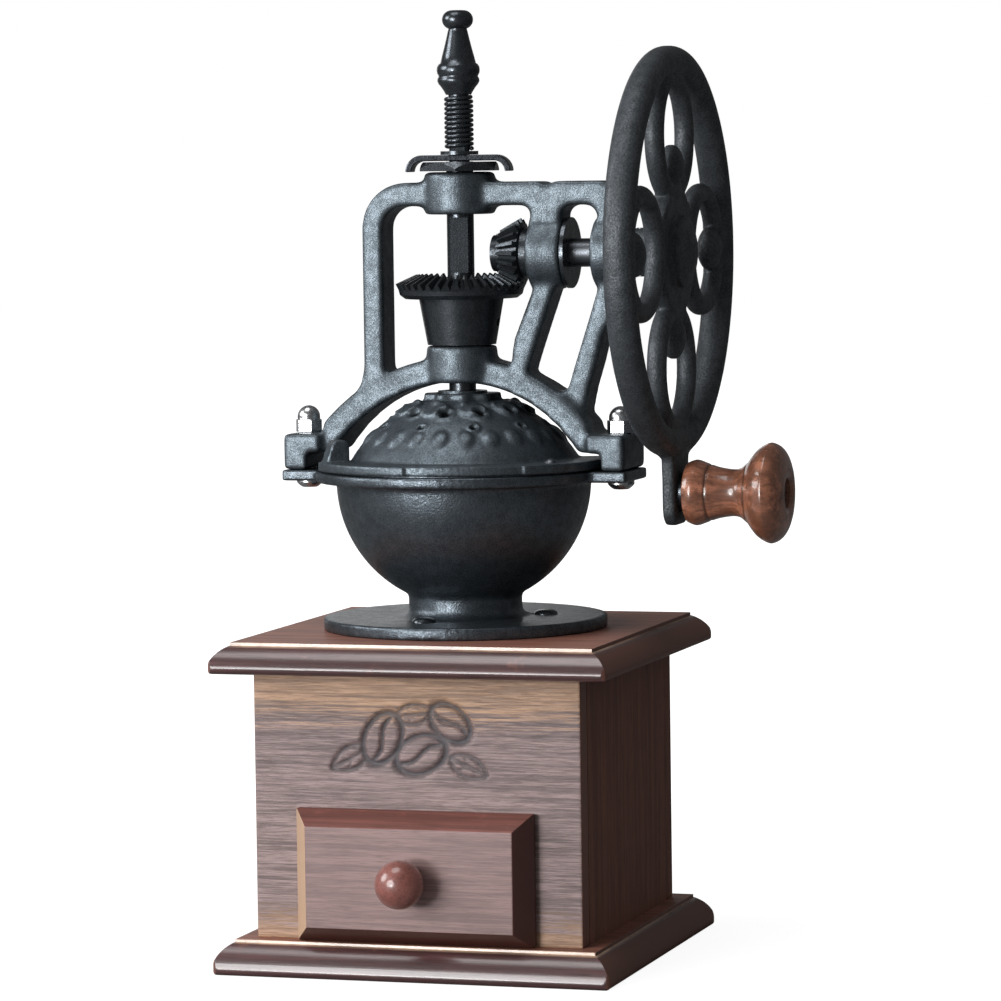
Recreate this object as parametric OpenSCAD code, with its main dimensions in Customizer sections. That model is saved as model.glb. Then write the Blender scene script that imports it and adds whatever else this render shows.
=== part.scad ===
/* [Wooden base] */
// Width and depth of the base board and of the top board
board_w = 135; // [125:1:150]
// Thickness of the base board
base_t = 11.3; // [9:0.1:16]
// Thickness of the top board
top_t = 10; // [8:0.1:14]
// Distance from a board's widest edge in to its flat top
edge_in = 6.3; // [5:0.1:8]
// Height of the small step at the top of a board's moulded edge
edge_step = 1.1; // [0.8:0.1:2.4]
// Radius of the long round on a board's edge
edge_r = 11; // [9:0.5:16]
// Radius of the boards' corners, seen from above
board_corner_r = 3; // [1:0.5:6]
// Outside width and depth of the box
box_w = 110.8; // [104:0.1:118]
// Height of the box between the two boards
box_h = 87.3; // [80:0.1:110]
// Thickness of the box's four panels
panel_t = 8; // [6:0.5:10]

/* [Drawer] */
// Width of the drawer's face
face_w = 80; // [76:0.5:88]
// Height of the drawer's face
face_h = 43; // [40:0.5:50]
// Thickness of the drawer's face, which stands in front of the box
face_t = 9.8; // [6:0.1:12]
// Width of the sloping bevel round the drawer's face
face_bevel = 5; // [3:0.1:6]
// Width of the opening in the front panel
opening_w = 72; // [60:0.5:74]
// Height of the opening in the front panel
opening_h = 37; // [30:0.5:38]
// Depth of the drawer behind the box's front
drawer_depth = 90; // [70:0.5:94]
// Thickness of the drawer's sides and back
drawer_wall = 5; // [3:0.5:8]
// Thickness of the drawer's floor
drawer_floor = 3; // [2:0.5:5]
// Running clearance round the drawer
drawer_gap = 0.3; // [0.2:0.05:0.6]
// Width of the wooden guide strips beside the drawer
guide_w = 6; // [4:0.5:8]
// Height of the guide strips
guide_h = 9; // [5:0.5:14]
// Diameter of the ball on the drawer's knob
knob_d = 15.8; // [12:0.1:22]

/* [Bowl] */
// Radius of the bowl's foot flange
flange_r = 47.25; // [44:0.25:52]
// Thickness of the foot flange
flange_t = 4.1; // [3:0.1:6]
// Radius of the bowl's neck
neck_r = 18.9; // [18:0.1:22]
// Outer radius of the round bowl
bowl_r = 42.4; // [41:0.1:44]
// Wall thickness of the bowl
bowl_wall = 3.5; // [3:0.1:3.8]
// Height of the bowl from the flange's underside to the top of its rim
bowl_h = 53; // [50:0.1:56]
// Radius of the bowl's rim
rim_r = 49.3; // [48.5:0.1:50]
// Thickness of the bowl's rim
rim_t = 3.7; // [3:0.1:5]
// Reach of the two bolt lugs from the bowl's axis
lug_reach = 59.5; // [59.5:0.5:64]
// Radius of the circle of wood screws in the foot flange
bowl_screw_circle = 26.7; // [24:0.1:34]

/* [Lid] */
// Radius of the dome's outer surface
dome_r = 45.3; // [44:0.1:46]
// Height of the dome's centre of curvature below the bowl's rim
dome_drop = 20.4; // [19.5:0.1:22]
// Thickness of the turning cover
cover_t = 2.2; // [1.8:0.1:2.6]
// Gap between the turning cover and the fixed dome
cover_gap = 0.4; // [0.3:0.05:0.6]
// Thickness of the fixed dome
dome_t = 2.4; // [2:0.1:3]
// Angle that the turning cover spans
cover_span = 170; // [150:5:180]
// Angle that the cover turns through to open the bean window
cover_travel = 100; // [60:5:100]

/* [Bridge] */
// Distance of the bridge's bolts from the grinder's axis
bolt_x = 54.3; // [53.9:0.1:54.6]
// Height of the bridge's feet
foot_h = 12; // [10:0.1:14]
// Width of a foot, front to back
foot_w = 27; // [22:0.5:32]
// Depth of the bridge's bars, front to back
bar_d = 14; // [12:0.5:18]
// Radius of the arch's inner curve
arch_r = 51; // [50.5:0.1:52]
// Depth of the arch where it meets the feet, front to back
arch_foot_d = 22; // [14:0.5:26]
// Thickness of the arch, measured along its radius
arch_t = 8.4; // [7:0.1:9]
// Height of the drive shaft's axis above the bowl's rim
axis_h = 71.4; // [71:0.1:74]
// Height of the top bar's upper edge above the bowl's rim
bridge_h = 95; // [94:0.1:98]
// Height of the top bar
top_bar_h = 7.8; // [7:0.1:9]
// Width of the left leg
leg_w = 7.1; // [5.6:0.1:8]
// Radius of the upper hub
upper_hub_r = 11.8; // [11:0.1:13]
// Length of the upper hub
upper_hub_l = 14; // [12:0.1:16]
// Radius of the lower hub
lower_hub_r = 11.8; // [10:0.1:13]
// Radius of the drive shaft's bearing boss
boss_r = 11.8; // [9:0.1:12.4]

/* [Drive] */
// Radius of the vertical shaft
shaft_r = 4.5; // [4:0.05:5]
// Radius of the horizontal drive shaft
drive_r = 4.7; // [4:0.05:5]
// Radial clearance of a shaft in its bearing
running_gap = 0.05; // [0.02:0.01:0.1]
// Number of teeth on the pinion
pinion_teeth = 20; // [16:2:24]
// Number of teeth on the crown gear
crown_teeth = 40; // [36:2:44]
// Radius of the crown gear's pitch circle
crown_pitch_r = 21.4; // [20:0.1:22]
// Length of the teeth
tooth_face = 7.5; // [5:0.1:9]
// Radius of the top of the crown gear's tapered hub
crown_hub_r1 = 14.1; // [13:0.1:16]
// Radius of the foot of the crown gear's tapered hub
crown_hub_r0 = 11.4; // [9:0.1:12]

/* [Grinding burrs] */
// Outer radius of the ring burr
ring_burr_r = 15.35; // [15:0.05:15.4]
// Height of the ring burr
ring_burr_h = 13.4; // [10:0.1:15]
// Radius of the cone burr's wide lower end
cone_burr_r = 12; // [11:0.1:12.2]
// Height of the cone burr
cone_burr_h = 16; // [13:0.1:18]

/* [Adjuster] */
// Width of the adjusting nut across its flats
nut_af = 24.9; // [22:0.1:25]
// Thickness of the adjusting nut
nut_t = 3; // [2.6:0.1:3.2]
// Half of the lock plate's length
plate_reach = 17.5; // [17:0.1:19]
// Width of the lock plate
plate_w = 11; // [10:0.5:13]
// Thickness of the lock plate
plate_t = 2; // [1.6:0.1:2.2]
// Outer diameter of the spring
spring_d = 9.8; // [9.8:0.1:11]
// Diameter of the spring's wire
spring_wire = 1.4; // [1:0.1:1.4]
// Number of turns in the spring
spring_turns = 11; // [6:1:11]
// Length of the spring
spring_l = 18.6; // [17:0.1:22]
// Height of the top knob
top_knob_h = 27.8; // [25:0.1:32]

/* [Wheel and crank] */
// Distance of the wheel's middle plane from the grinder's axis
wheel_x = 72; // [71:0.1:76]
// Outer radius of the wheel
wheel_r = 67.2; // [64:0.1:69]
// Radius of the rim's rounded sides
rim_tube_r = 4.6; // [3.8:0.1:5]
// Half of the rim's thickness along the axle
rim_half_x = 5.2; // [5:0.1:6.4]
// Radius of the round section of the four inner rings
ring_tube_r = 3.3; // [2.6:0.1:3.5]
// Outer radius of the four inner rings
ring_r = 22.1; // [21.5:0.1:22.5]
// Radius of the flattened balls inside the rings
ball_r = 7.2; // [6:0.1:8]
// Half of a ball's thickness along the axle
ball_half_x = 4.1; // [3.4:0.1:5]
// Distance of the crank knob from the wheel's centre
crank_r = 78.8; // [77:0.1:86]
// Half of the crank arm's width at its end
arm_half = 8.9; // [8:0.1:10]
// Thickness of the crank arm
arm_t = 4.3; // [3.6:0.1:6]
// Length of the wooden crank knob
crank_knob_l = 34.3; // [30:0.1:38]
// Largest radius of the crank knob
crank_knob_r = 16.4; // [14:0.1:18]

/* [Hidden] */
$fn = 64;

// Small shared values
eps = 0.01;
fit_gap = 0.05;
seat_gap = 0.3;

// Levels of the wooden base
box_z = base_t;
top_z = base_t + box_h;
bowl_z = top_z + top_t;

// Levels of the bowl and lid
rim_z = bowl_z + bowl_h;
bowl_centre_z = rim_z - rim_t + 0.1;
bowl_inner_r = bowl_r - bowl_wall;
dome_z = rim_z - dome_drop;
fixed_dome_r = dome_r - cover_t - cover_gap;
lid_flange_t = 1.6;
lid_flange_r = rim_r - 2.9;
cover_rim_t = 1.6;
cover_rim_top = rim_z + lid_flange_t + seat_gap + cover_rim_t;
cover_skirt_z = rim_z + 0.4;
cover_boss_r = 8.2;
cover_boss_top = rim_z + 26;
collar_z = dome_z + sqrt(pow(fixed_dome_r, 2) - pow(cover_boss_r, 2)) + seat_gap;
cover_start = -150;
window_start = cover_start + 5;
rivet_angle = -31;
rivet_r = 42.8;
tab_angle = -144;

// Levels of the bridge
axis_z = rim_z + axis_h;
foot_top = rim_z + foot_h;
bar_top = rim_z + bridge_h;
bar_bottom = bar_top - top_bar_h;
arch_z = rim_z - 22.1;
arch_outer = arch_r + arch_t;
arch_foot_z = rim_z + 5.9;
foot_in = 46;
foot_out = bolt_x + 4.7;
foot_notch = 5;
leg_x = -32.4;
bridge_end = 57;
stem_x0 = 25.8;
stem_x1 = 36.3;
leg2_in = 48.8;
eye_x = 47.2;
eye_r = 11.7;
boss_x0 = 25;
boss_x1 = 37;
upper_hub_top = bar_top + 3.4;
lower_hub_z0 = arch_z + arch_r - 0.2;
lower_hub_z1 = lower_hub_z0 + 12.3;
bolt_r = 2.5;

// Bevel gears: both cones meet where the two shaft axes cross
pinion_pitch_r = crown_pitch_r * pinion_teeth / crown_teeth;
pinion_cone = atan(pinion_teeth / crown_teeth);
crown_cone = 90 - pinion_cone;
cone_l = crown_pitch_r / sin(crown_cone);
gear_module = 2 * crown_pitch_r / crown_teeth;
addendum = 0.85 * gear_module;
dedendum = 1.15 * gear_module;
flank_angle = 20;
space_share = 0.57;
crown_back_z = axis_z - 14.8;
crown_phase = 180 / crown_teeth;

// Levels of the burrs
throat_r = ring_burr_r + fit_gap;
ring_seat_z = bowl_z + 2;
cone_burr_z = ring_seat_z + 0.4;
ring_mouth_r = cone_burr_r + 1.9;
ring_exit_r = cone_burr_r + 0.6;
seat_bore_r = ring_exit_r + 0.6;
chute_r = seat_bore_r + 2;

// Levels of the adjuster, which is turned a little round the axis at rest
key_angle = 11.3;
nut_z = upper_hub_top + seat_gap;
plate_z = nut_z + nut_t + seat_gap;
washer_z = plate_z + plate_t + fit_gap;
washer_t = 1.2;
spring_z = washer_z + washer_t;
knob_z = spring_z + spring_l;
shaft_top = knob_z + 10;
stud_r = 3.4;
stud_flat = 2.7;
stud_z = nut_z + nut_t + 0.1;
flat_half = shaft_r - 1;

// Wheel and crank
ring_centre_r = 38;
ball_offset = ring_r - 2 * ring_tube_r - ball_r + 1.9;
ball_sides = [-1, 1, -1, 1];
ball_out = 0.6;
ball_edge = 1.3;
hub_dome_r = 11.8;
hub_dome_h = 3;
hub_dome_out = 5.5;
hub_disc_r = 20.5;
hub_disc_t = 6;
rear_hub_r = 8;
rear_hub_x = bridge_end + 1.5;
arm_x = wheel_x - 1.4;
spindle_r = 3;
knob_x = arm_x + arm_t + 1.8;
crank_z = axis_z - crank_r;
drive_x0 = 11.4;
drive_x1 = wheel_x + 3;
pin_r = 1.25;

// A ring or tube that stands on its end
module tube(outer, inner, h) {
  difference() {
    cylinder(r = outer, h = h);
    translate([0, 0, -1]) cylinder(r = inner, h = h + 2);
  }
}

// A flat wedge seen from above, from angle a0 to a1, cut out of a big disc
module wedge(a0, a1, r, h) {
  steps = 6;
  arc = [for (i = [0:steps]) let (a = a0 + (a1 - a0) * i / steps) [r * cos(a), r * sin(a)]];
  linear_extrude(h) polygon(concat([[0, 0]], arc));
}

// An outline with a rounding radius for each corner; an inward corner has radius 0
function unit(v) = v / norm(v);
function corner_centre(p, i, r) =
  let (n = len(p), a = unit(p[(i + n - 1) % n] - p[i]), b = unit(p[(i + 1) % n] - p[i]))
  p[i] + unit(a + b) * r / sin(acos(a * b) / 2);
function corner_reach(p, i, r) =
  let (n = len(p), a = unit(p[(i + n - 1) % n] - p[i]), b = unit(p[(i + 1) % n] - p[i]))
  r / tan(acos(a * b) / 2);
module rounded_outline(p, radii) {
  n = len(p);
  tangents = [for (i = [0:n - 1], side = radii[i] > 0 ? [0, 1] : [0])
    let (d = side == 0 ? unit(p[(i + n - 1) % n] - p[i]) : unit(p[(i + 1) % n] - p[i]))
    p[i] + d * corner_reach(p, i, radii[i])];
  polygon(tangents);
  for (i = [0:n - 1]) if (radii[i] > 0) translate(corner_centre(p, i, radii[i])) circle(r = radii[i]);
}

// Section across a board: on each side a long round runs from under a small step down to a small nose
module board_section(t) {
  half = board_w / 2;
  flat = half - edge_in;
  nose_r = 2;
  nose = [half - nose_r, nose_r];
  start = [flat + 0.3, t - edge_step];
  span = norm(start - nose);
  along = (pow(edge_r - nose_r, 2) - pow(edge_r, 2) + pow(span, 2)) / (2 * span);
  across = sqrt(pow(edge_r - nose_r, 2) - pow(along, 2));
  u = unit(start - nose);
  centre = nose + along * u - across * [u[1], -u[0]];
  meet = nose + nose_r * unit(nose - centre);
  translate([-flat, 0]) square([2 * flat, t]);
  translate([-nose[0], 0]) square([2 * nose[0], meet[1]]);
  for (s = [-1, 1]) {
    translate([s * nose[0], nose[1]]) circle(r = nose_r);
    intersection() {
      translate([s * centre[0], centre[1]]) circle(r = edge_r);
      translate([s > 0 ? 0 : -half - 1, meet[1]]) square([half + 1, start[1] - meet[1]]);
    }
  }
}

// A square board with the moulded edge on all four sides and small round corners
module moulded_board(t) {
  half = board_w / 2;
  c = board_corner_r;
  intersection() {
    rotate([90, 0, 0]) linear_extrude(board_w, center = true) board_section(t);
    rotate([90, 0, 90]) linear_extrude(board_w, center = true) board_section(t);
    linear_extrude(t) rounded_outline([[-half, -half], [half, -half], [half, half], [-half, half]], [c, c, c, c]);
  }
}

// Places of the wood screws in the base, under the middle of the right, back and left panels
base_screw_r = 2;
base_screw_bite = 12;
base_screw_spots = [for (a = [0, 90, 180]) [(box_w - panel_t) / 2 * cos(a), (box_w - panel_t) / 2 * sin(a)]];
dowel_r = 3;
dowel_y = box_w / 4;

module base_board() {
  color("#3a2420") difference() {
    moulded_board(base_t);
    for (p = base_screw_spots) translate([p[0], p[1], 0]) {
      translate([0, 0, -1]) cylinder(r = base_screw_r + fit_gap, h = base_t + 2);
      translate([0, 0, -eps]) cylinder(r1 = 2 * base_screw_r + 0.6, r2 = base_screw_r, h = 2.6);
    }
  }
}

module top_board() {
  color("#47291f") translate([0, 0, top_z]) difference() {
    moulded_board(top_t);
    translate([0, 0, -1]) cylinder(r = chute_r, h = top_t + 2);
    for (a = bowl_screw_angles) rotate([0, 0, a]) translate([bowl_screw_circle, 0, top_t - 9])
      cylinder(r = bowl_screw_r + fit_gap, h = 10);
    for (x = [-1, 1], y = [-1, 1]) translate([x * (box_w - panel_t) / 2, y * dowel_y, -1])
      cylinder(r = dowel_r + fit_gap, h = 1 + 5);
  }
}

module box_front() {
  color("#6b5a50") translate([0, 0, box_z]) difference() {
    translate([-box_w / 2, -box_w / 2, 0]) cube([box_w, panel_t, box_h]);
    translate([-opening_w / 2, -box_w / 2 - 1, -1]) cube([opening_w, panel_t + 2, opening_h + 1]);
  }
}

module box_back() {
  color("#5a4439") translate([0, 0, box_z]) difference() {
    translate([-box_w / 2, box_w / 2 - panel_t, 0]) cube([box_w, panel_t, box_h]);
    screw_pilot(1);
  }
}

// Pilot holes for the base screws that reach up into the panels
module screw_pilot(i) {
  translate([base_screw_spots[i][0], base_screw_spots[i][1], -1])
    cylinder(r = base_screw_r + fit_gap, h = base_screw_bite + 4);
}

module box_side(side) {
  translate([0, 0, box_z]) difference() {
    translate([side * (box_w - panel_t) / 2 - panel_t / 2, -box_w / 2 + panel_t, 0])
      cube([panel_t, box_w - 2 * panel_t, box_h]);
    screw_pilot(side == 1 ? 0 : 2);
    for (y = [-1, 1]) translate([side * (box_w - panel_t) / 2, y * dowel_y, box_h - 12])
      cylinder(r = dowel_r + fit_gap, h = 13);
  }
}
module box_left() { color("#4d3329") box_side(-1); }
module box_right() { color("#3f2a22") box_side(1); }

module drawer_guides() {
  inner = box_w / 2 - panel_t;
  color("#8a6a4c") for (s = [-1, 1])
    translate([s * (drawer_box_w / 2 + drawer_gap + guide_w / 2) - guide_w / 2, -inner, box_z])
      cube([guide_w, 2 * inner, guide_h]);
}

module base_screws() {
  color("#8c8c88") for (i = [0, 1, 2]) translate([base_screw_spots[i][0], base_screw_spots[i][1], 0.3]) {
    cylinder(r1 = 2 * base_screw_r + 0.2, r2 = base_screw_r, h = 2.2);
    cylinder(r = base_screw_r, h = base_t + base_screw_bite);
    translate([0, 0, base_t + base_screw_bite]) cylinder(r1 = base_screw_r, r2 = 0.4, h = 2);
  }
}

module top_dowels() {
  color("#a98257") for (x = [-1, 1], y = [-1, 1])
    translate([x * (box_w - panel_t) / 2, y * dowel_y, top_z - 11.5]) cylinder(r = dowel_r, h = 16);
}

// The drawer runs on the base board, between the guide strips
drawer_box_w = opening_w - 2 * drawer_gap;
drawer_box_z = box_z + drawer_gap;
drawer_box_h = opening_h - 2 * drawer_gap - 1;
face_y = -box_w / 2 - seat_gap;
knob_z0 = drawer_box_z + face_h / 2;

module drawer_front() {
  half = face_w / 2;
  color("#5b3a33") difference() {
    intersection() {
      translate([0, face_y, 0]) linear_extrude(drawer_box_z + face_h)
        polygon([[-half, 0], [half, 0], [half, -face_t / 3], [half - face_bevel, -face_t],
          [-half + face_bevel, -face_t], [-half, -face_t / 3]]);
      translate([0, face_y, drawer_box_z]) rotate([90, 0, 90]) linear_extrude(face_w, center = true)
        polygon([[0, 0], [0, face_h], [-face_t / 3, face_h], [-face_t, face_h - face_bevel],
          [-face_t, face_bevel], [-face_t / 3, 0]]);
    }
    translate([0, face_y + 1, knob_z0]) rotate([90, 0, 0]) cylinder(r = knob_screw_r + fit_gap, h = face_t + 2);
  }
}

module drawer_side(side) {
  translate([side * (drawer_box_w - drawer_wall) / 2 - drawer_wall / 2, face_y, drawer_box_z])
    cube([drawer_wall, drawer_depth, drawer_box_h]);
}
module drawer_side_left() { color("#8a6a4c") drawer_side(-1); }
module drawer_side_right() { color("#8a6a4c") drawer_side(1); }

module drawer_back() {
  inner = drawer_box_w - 2 * drawer_wall;
  color("#8a6a4c") translate([-inner / 2, face_y + drawer_depth - drawer_wall, drawer_box_z])
    cube([inner, drawer_wall, drawer_box_h]);
}

module drawer_bottom() {
  inner = drawer_box_w - 2 * drawer_wall;
  color("#a98257") translate([-inner / 2, face_y, drawer_box_z])
    cube([inner, drawer_depth - drawer_wall, drawer_floor]);
}

knob_screw_r = 1.6;
module drawer_knob() {
  neck_l = 3.4;
  color("#5a2418") translate([0, face_y - face_t, knob_z0]) rotate([90, 0, 0]) difference() {
    union() {
      cylinder(r = knob_d * 0.3, h = neck_l);
      translate([0, 0, knob_d / 2 + 1.2]) sphere(d = knob_d);
    }
    translate([0, 0, -1]) cylinder(r = knob_screw_r + fit_gap, h = 11);
  }
}

module knob_screw() {
  head_t = 1.8;
  color("#9a9a96") translate([0, face_y + head_t, knob_z0]) rotate([90, 0, 0]) {
    cylinder(r = 3.2, h = head_t);
    cylinder(r = knob_screw_r, h = head_t + face_t + 9);
  }
}

// The cast bowl: flange, neck, round bowl, rim and two bolt lugs
bowl_screw_r = 2;
bowl_screw_angles = [-103.5, 16.5, 136.5];
lug_w = foot_w;
key_w = 3;

module bowl() {
  fillet = 3;
  color("#24272a") difference() {
    union() {
      translate([0, 0, bowl_z]) cylinder(r = flange_r, h = flange_t);
      translate([0, 0, bowl_z]) cylinder(r = neck_r, h = bowl_centre_z - bowl_z - bowl_r + 6);
      translate([0, 0, bowl_z + flange_t]) rotate_extrude() difference() {
        translate([neck_r - 1, 0]) square([fillet + 1, fillet]);
        translate([neck_r + fillet, fillet]) circle(r = fillet);
      }
      intersection() {
        translate([0, 0, bowl_centre_z]) sphere(r = bowl_r);
        translate([0, 0, bowl_z + flange_t]) cylinder(r = bowl_r + 1, h = bowl_h - flange_t);
      }
      translate([0, 0, rim_z - rim_t]) cylinder(r = rim_r, h = rim_t);
      translate([-lug_reach, -lug_w / 2, rim_z - rim_t]) cube([2 * lug_reach, lug_w, rim_t]);
    }
    translate([0, 0, bowl_centre_z]) sphere(r = bowl_inner_r);
    translate([0, 0, bowl_centre_z]) cylinder(r = bowl_inner_r, h = rim_t + 1);
    translate([0, 0, ring_seat_z]) cylinder(r = throat_r, h = bowl_centre_z - ring_seat_z);
    translate([0, 0, bowl_z - 1]) cylinder(r = seat_bore_r, h = 5);
    for (s = [-1, 1]) translate([-key_w / 2 - fit_gap, s * throat_r - 1.2, ring_seat_z])
      cube([key_w + 2 * fit_gap, 2.4, ring_burr_h + 4]);
    for (s = [-1, 1]) translate([s * bolt_x, 0, rim_z - rim_t - 1]) cylinder(r = bolt_r + 0.1, h = rim_t + 2);
    for (a = bowl_screw_angles) rotate([0, 0, a]) translate([bowl_screw_circle, 0, bowl_z]) {
      translate([0, 0, -1]) cylinder(r = bowl_screw_r + 0.15, h = flange_t + 2);
      translate([0, 0, flange_t - 2]) cylinder(r1 = bowl_screw_r + 0.15, r2 = 2 * bowl_screw_r + 0.2, h = 2 + eps);
    }
    for (a = lid_screw_angles) rotate([0, 0, a]) translate([rivet_r, 0, rim_z - 3.4])
      cylinder(r = lid_screw_r + fit_gap, h = 4);
  }
}

module bowl_screws() {
  color("#3c3c3c") for (a = bowl_screw_angles) rotate([0, 0, a]) translate([bowl_screw_circle, 0, bowl_z]) {
    translate([0, 0, flange_t - 2.1]) cylinder(r1 = bowl_screw_r, r2 = 2 * bowl_screw_r, h = 2);
    translate([0, 0, -7]) cylinder(r = bowl_screw_r, h = flange_t + 5);
    translate([0, 0, -8.5]) cylinder(r1 = 0.5, r2 = bowl_screw_r, h = 1.5);
  }
}

module ring_burr() {
  color("#4a4d50") translate([0, 0, ring_seat_z]) {
    difference() {
      union() {
        cylinder(r = ring_burr_r, h = ring_burr_h);
        for (s = [-1, 1]) translate([-key_w / 2, s * ring_burr_r - 1.05, 0]) cube([key_w, 2.1, ring_burr_h]);
      }
      translate([0, 0, -eps]) cylinder(r1 = ring_exit_r, r2 = ring_mouth_r, h = ring_burr_h + 2 * eps);
      for (i = [0:15]) rotate([0, 0, i * 360 / 16]) translate([ring_mouth_r, 0, ring_burr_h / 2 + 3])
        rotate([0, 25, 45]) cube([1.6, 1.6, ring_burr_h], center = true);
    }
  }
}

module cone_burr() {
  cone_top_r = 6.4;
  color("#4a4d50") translate([0, 0, cone_burr_z]) difference() {
    cylinder(r1 = cone_burr_r, r2 = cone_top_r, h = cone_burr_h);
    translate([0, 0, -1]) cylinder(r = shaft_r + fit_gap, h = cone_burr_h + 2);
    for (i = [0:9]) rotate([0, 0, i * 36]) translate([cone_burr_r - 0.6, 0, 0]) rotate([-28, -19, 0])
      rotate([0, 0, 45]) cube([2, 2, 3 * cone_burr_h], center = true);
  }
}

burr_screw_r = 2;
module burr_washer() {
  color("#8f918f") translate([0, 0, cone_burr_z - 1.6]) tube(8, burr_screw_r + 0.1, 1.6);
}

module burr_screw() {
  color("#777977") translate([0, 0, cone_burr_z - 1.6 - 3]) {
    cylinder(r = 3.8, h = 3);
    cylinder(r = burr_screw_r, h = 3 + 1.6 + 10);
  }
}

// The fixed dome sits in the bowl's mouth and has the bean window; the cover turns over it
lid_screw_r = 1.5;
lid_screw_angles = [10, 130, 250];
module dome_lid() {
  spigot_r = bowl_inner_r - 0.3;
  inner_r = fixed_dome_r - dome_t;
  color("#2b2e31") difference() {
    union() {
      translate([0, 0, rim_z]) cylinder(r = lid_flange_r, h = lid_flange_t);
      translate([0, 0, rim_z - 2.5]) cylinder(r = spigot_r, h = 3);
      intersection() {
        translate([0, 0, dome_z]) sphere(r = fixed_dome_r);
        translate([0, 0, rim_z]) cylinder(r = dome_r, h = dome_r);
      }
      translate([0, 0, dome_z + inner_r]) cylinder(r = cover_boss_r, h = cover_boss_top - dome_z - inner_r);
    }
    intersection() {
      translate([0, 0, dome_z]) sphere(r = inner_r);
      translate([0, 0, rim_z - 5]) cylinder(r = spigot_r - 2, h = dome_r);
    }
    translate([0, 0, rim_z - 3]) cylinder(r = sqrt(pow(inner_r, 2) - pow(dome_drop, 2)), h = 4);
    translate([0, 0, rim_z]) cylinder(r = shaft_r + 1.5, h = dome_r);
    translate([0, 0, rim_z + 1]) intersection() {
      wedge(window_start, window_start + cover_travel - 5, 60, dome_r);
      tube(33, 13, dome_r);
    }
    translate([0, 0, rim_z - 1]) intersection() {
      wedge(rivet_angle - 3, rivet_angle + cover_travel + 3, 60, lid_flange_t + 2);
      tube(rivet_r + 1.7, rivet_r - 1.7, lid_flange_t + 2);
    }
    for (a = lid_screw_angles) if (a > 100) rotate([0, 0, a]) translate([rivet_r, 0, rim_z]) {
      translate([0, 0, -1]) cylinder(r = lid_screw_r + 0.1, h = lid_flange_t + 2);
      translate([0, 0, lid_flange_t - 1.4]) cylinder(r1 = lid_screw_r + 0.1, r2 = 3.1, h = 1.4 + eps);
    }
  }
}

module lid_screws() {
  color("#3c3c3c") for (a = lid_screw_angles) if (a > 100) rotate([0, 0, a]) translate([rivet_r, 0, rim_z]) {
    translate([0, 0, lid_flange_t - 1.4]) cylinder(r1 = lid_screw_r, r2 = 2.8, h = 1.3);
    translate([0, 0, -3.2]) cylinder(r = lid_screw_r, h = lid_flange_t + 2);
  }
}

module lid_cover() {
  inner_r = dome_r - cover_t;
  notch = [-96, -49];
  color("#2f3336") difference() {
    union() {
      intersection() {
        union() {
          difference() {
            union() {
              intersection() {
                translate([0, 0, dome_z]) sphere(r = dome_r);
                translate([0, 0, cover_rim_top - cover_rim_t]) cylinder(r = dome_r, h = dome_r);
              }
              for (i = [0:9]) translate([0, 0, dome_z]) rotate([0, 0, i * 36 + 8]) rotate([0, 26, 0]) rosette_boss();
            }
            translate([0, 0, dome_z]) sphere(r = inner_r);
          }
          translate([0, 0, cover_rim_top - cover_rim_t])
            tube(rim_r, sqrt(pow(inner_r, 2) - pow(dome_drop + 2, 2)), cover_rim_t);
          translate([0, 0, cover_skirt_z]) tube(rim_r, lid_flange_r + 0.4, cover_rim_top - cover_skirt_z);
        }
        translate([0, 0, rim_z]) wedge(cover_start, cover_start + cover_span, 80, 60);
      }
      translate([0, 0, collar_z]) cylinder(r = 12.6, h = rim_z + 25.2 - collar_z);
      rotate([0, 0, tab_angle]) translate([0, 0, cover_rim_top - 0.5]) thumb_tab();
    }
    translate([0, 0, rim_z]) cylinder(r = cover_boss_r + fit_gap, h = 60);
    translate([0, 0, rim_z]) intersection() {
      wedge(notch[0], notch[1], 80, 10);
      tube(60, rim_r - 0.8, 10);
    }
    rotate([0, 0, rivet_angle]) translate([rivet_r, 0, rim_z]) cylinder(r = 1.2 + fit_gap, h = 6);
  }
}

// A low round boss of the cast ornament near the top of the cover
module rosette_boss() {
  intersection() {
    sphere(r = dome_r + 1.1);
    translate([0, 0, dome_r - 4]) cylinder(r = 4.6, h = 8);
  }
}

// The thumb tab that turns the cover, standing on the rim
module thumb_tab() {
  w = 6.5;
  h = 7.8;
  lean = 2.6;
  foot = rim_r - 0.7;
  rotate([90, 0, 0]) linear_extrude(w, center = true)
    rounded_outline([[40.5, 0], [foot, 0], [foot - lean, h], [40.5, h]], [0, 0, 1.8, 1.8]);
}

module lid_rivet() {
  color("#8a8c8a") rotate([0, 0, rivet_angle]) translate([rivet_r, 0, 0]) {
    translate([0, 0, rim_z + 0.3]) cylinder(r = 1.2, h = cover_rim_top - rim_z);
    translate([0, 0, cover_rim_top]) intersection() {
      translate([0, 0, -1.2]) sphere(r = 2.6);
      cylinder(r = 3, h = 3);
    }
  }
}

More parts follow.
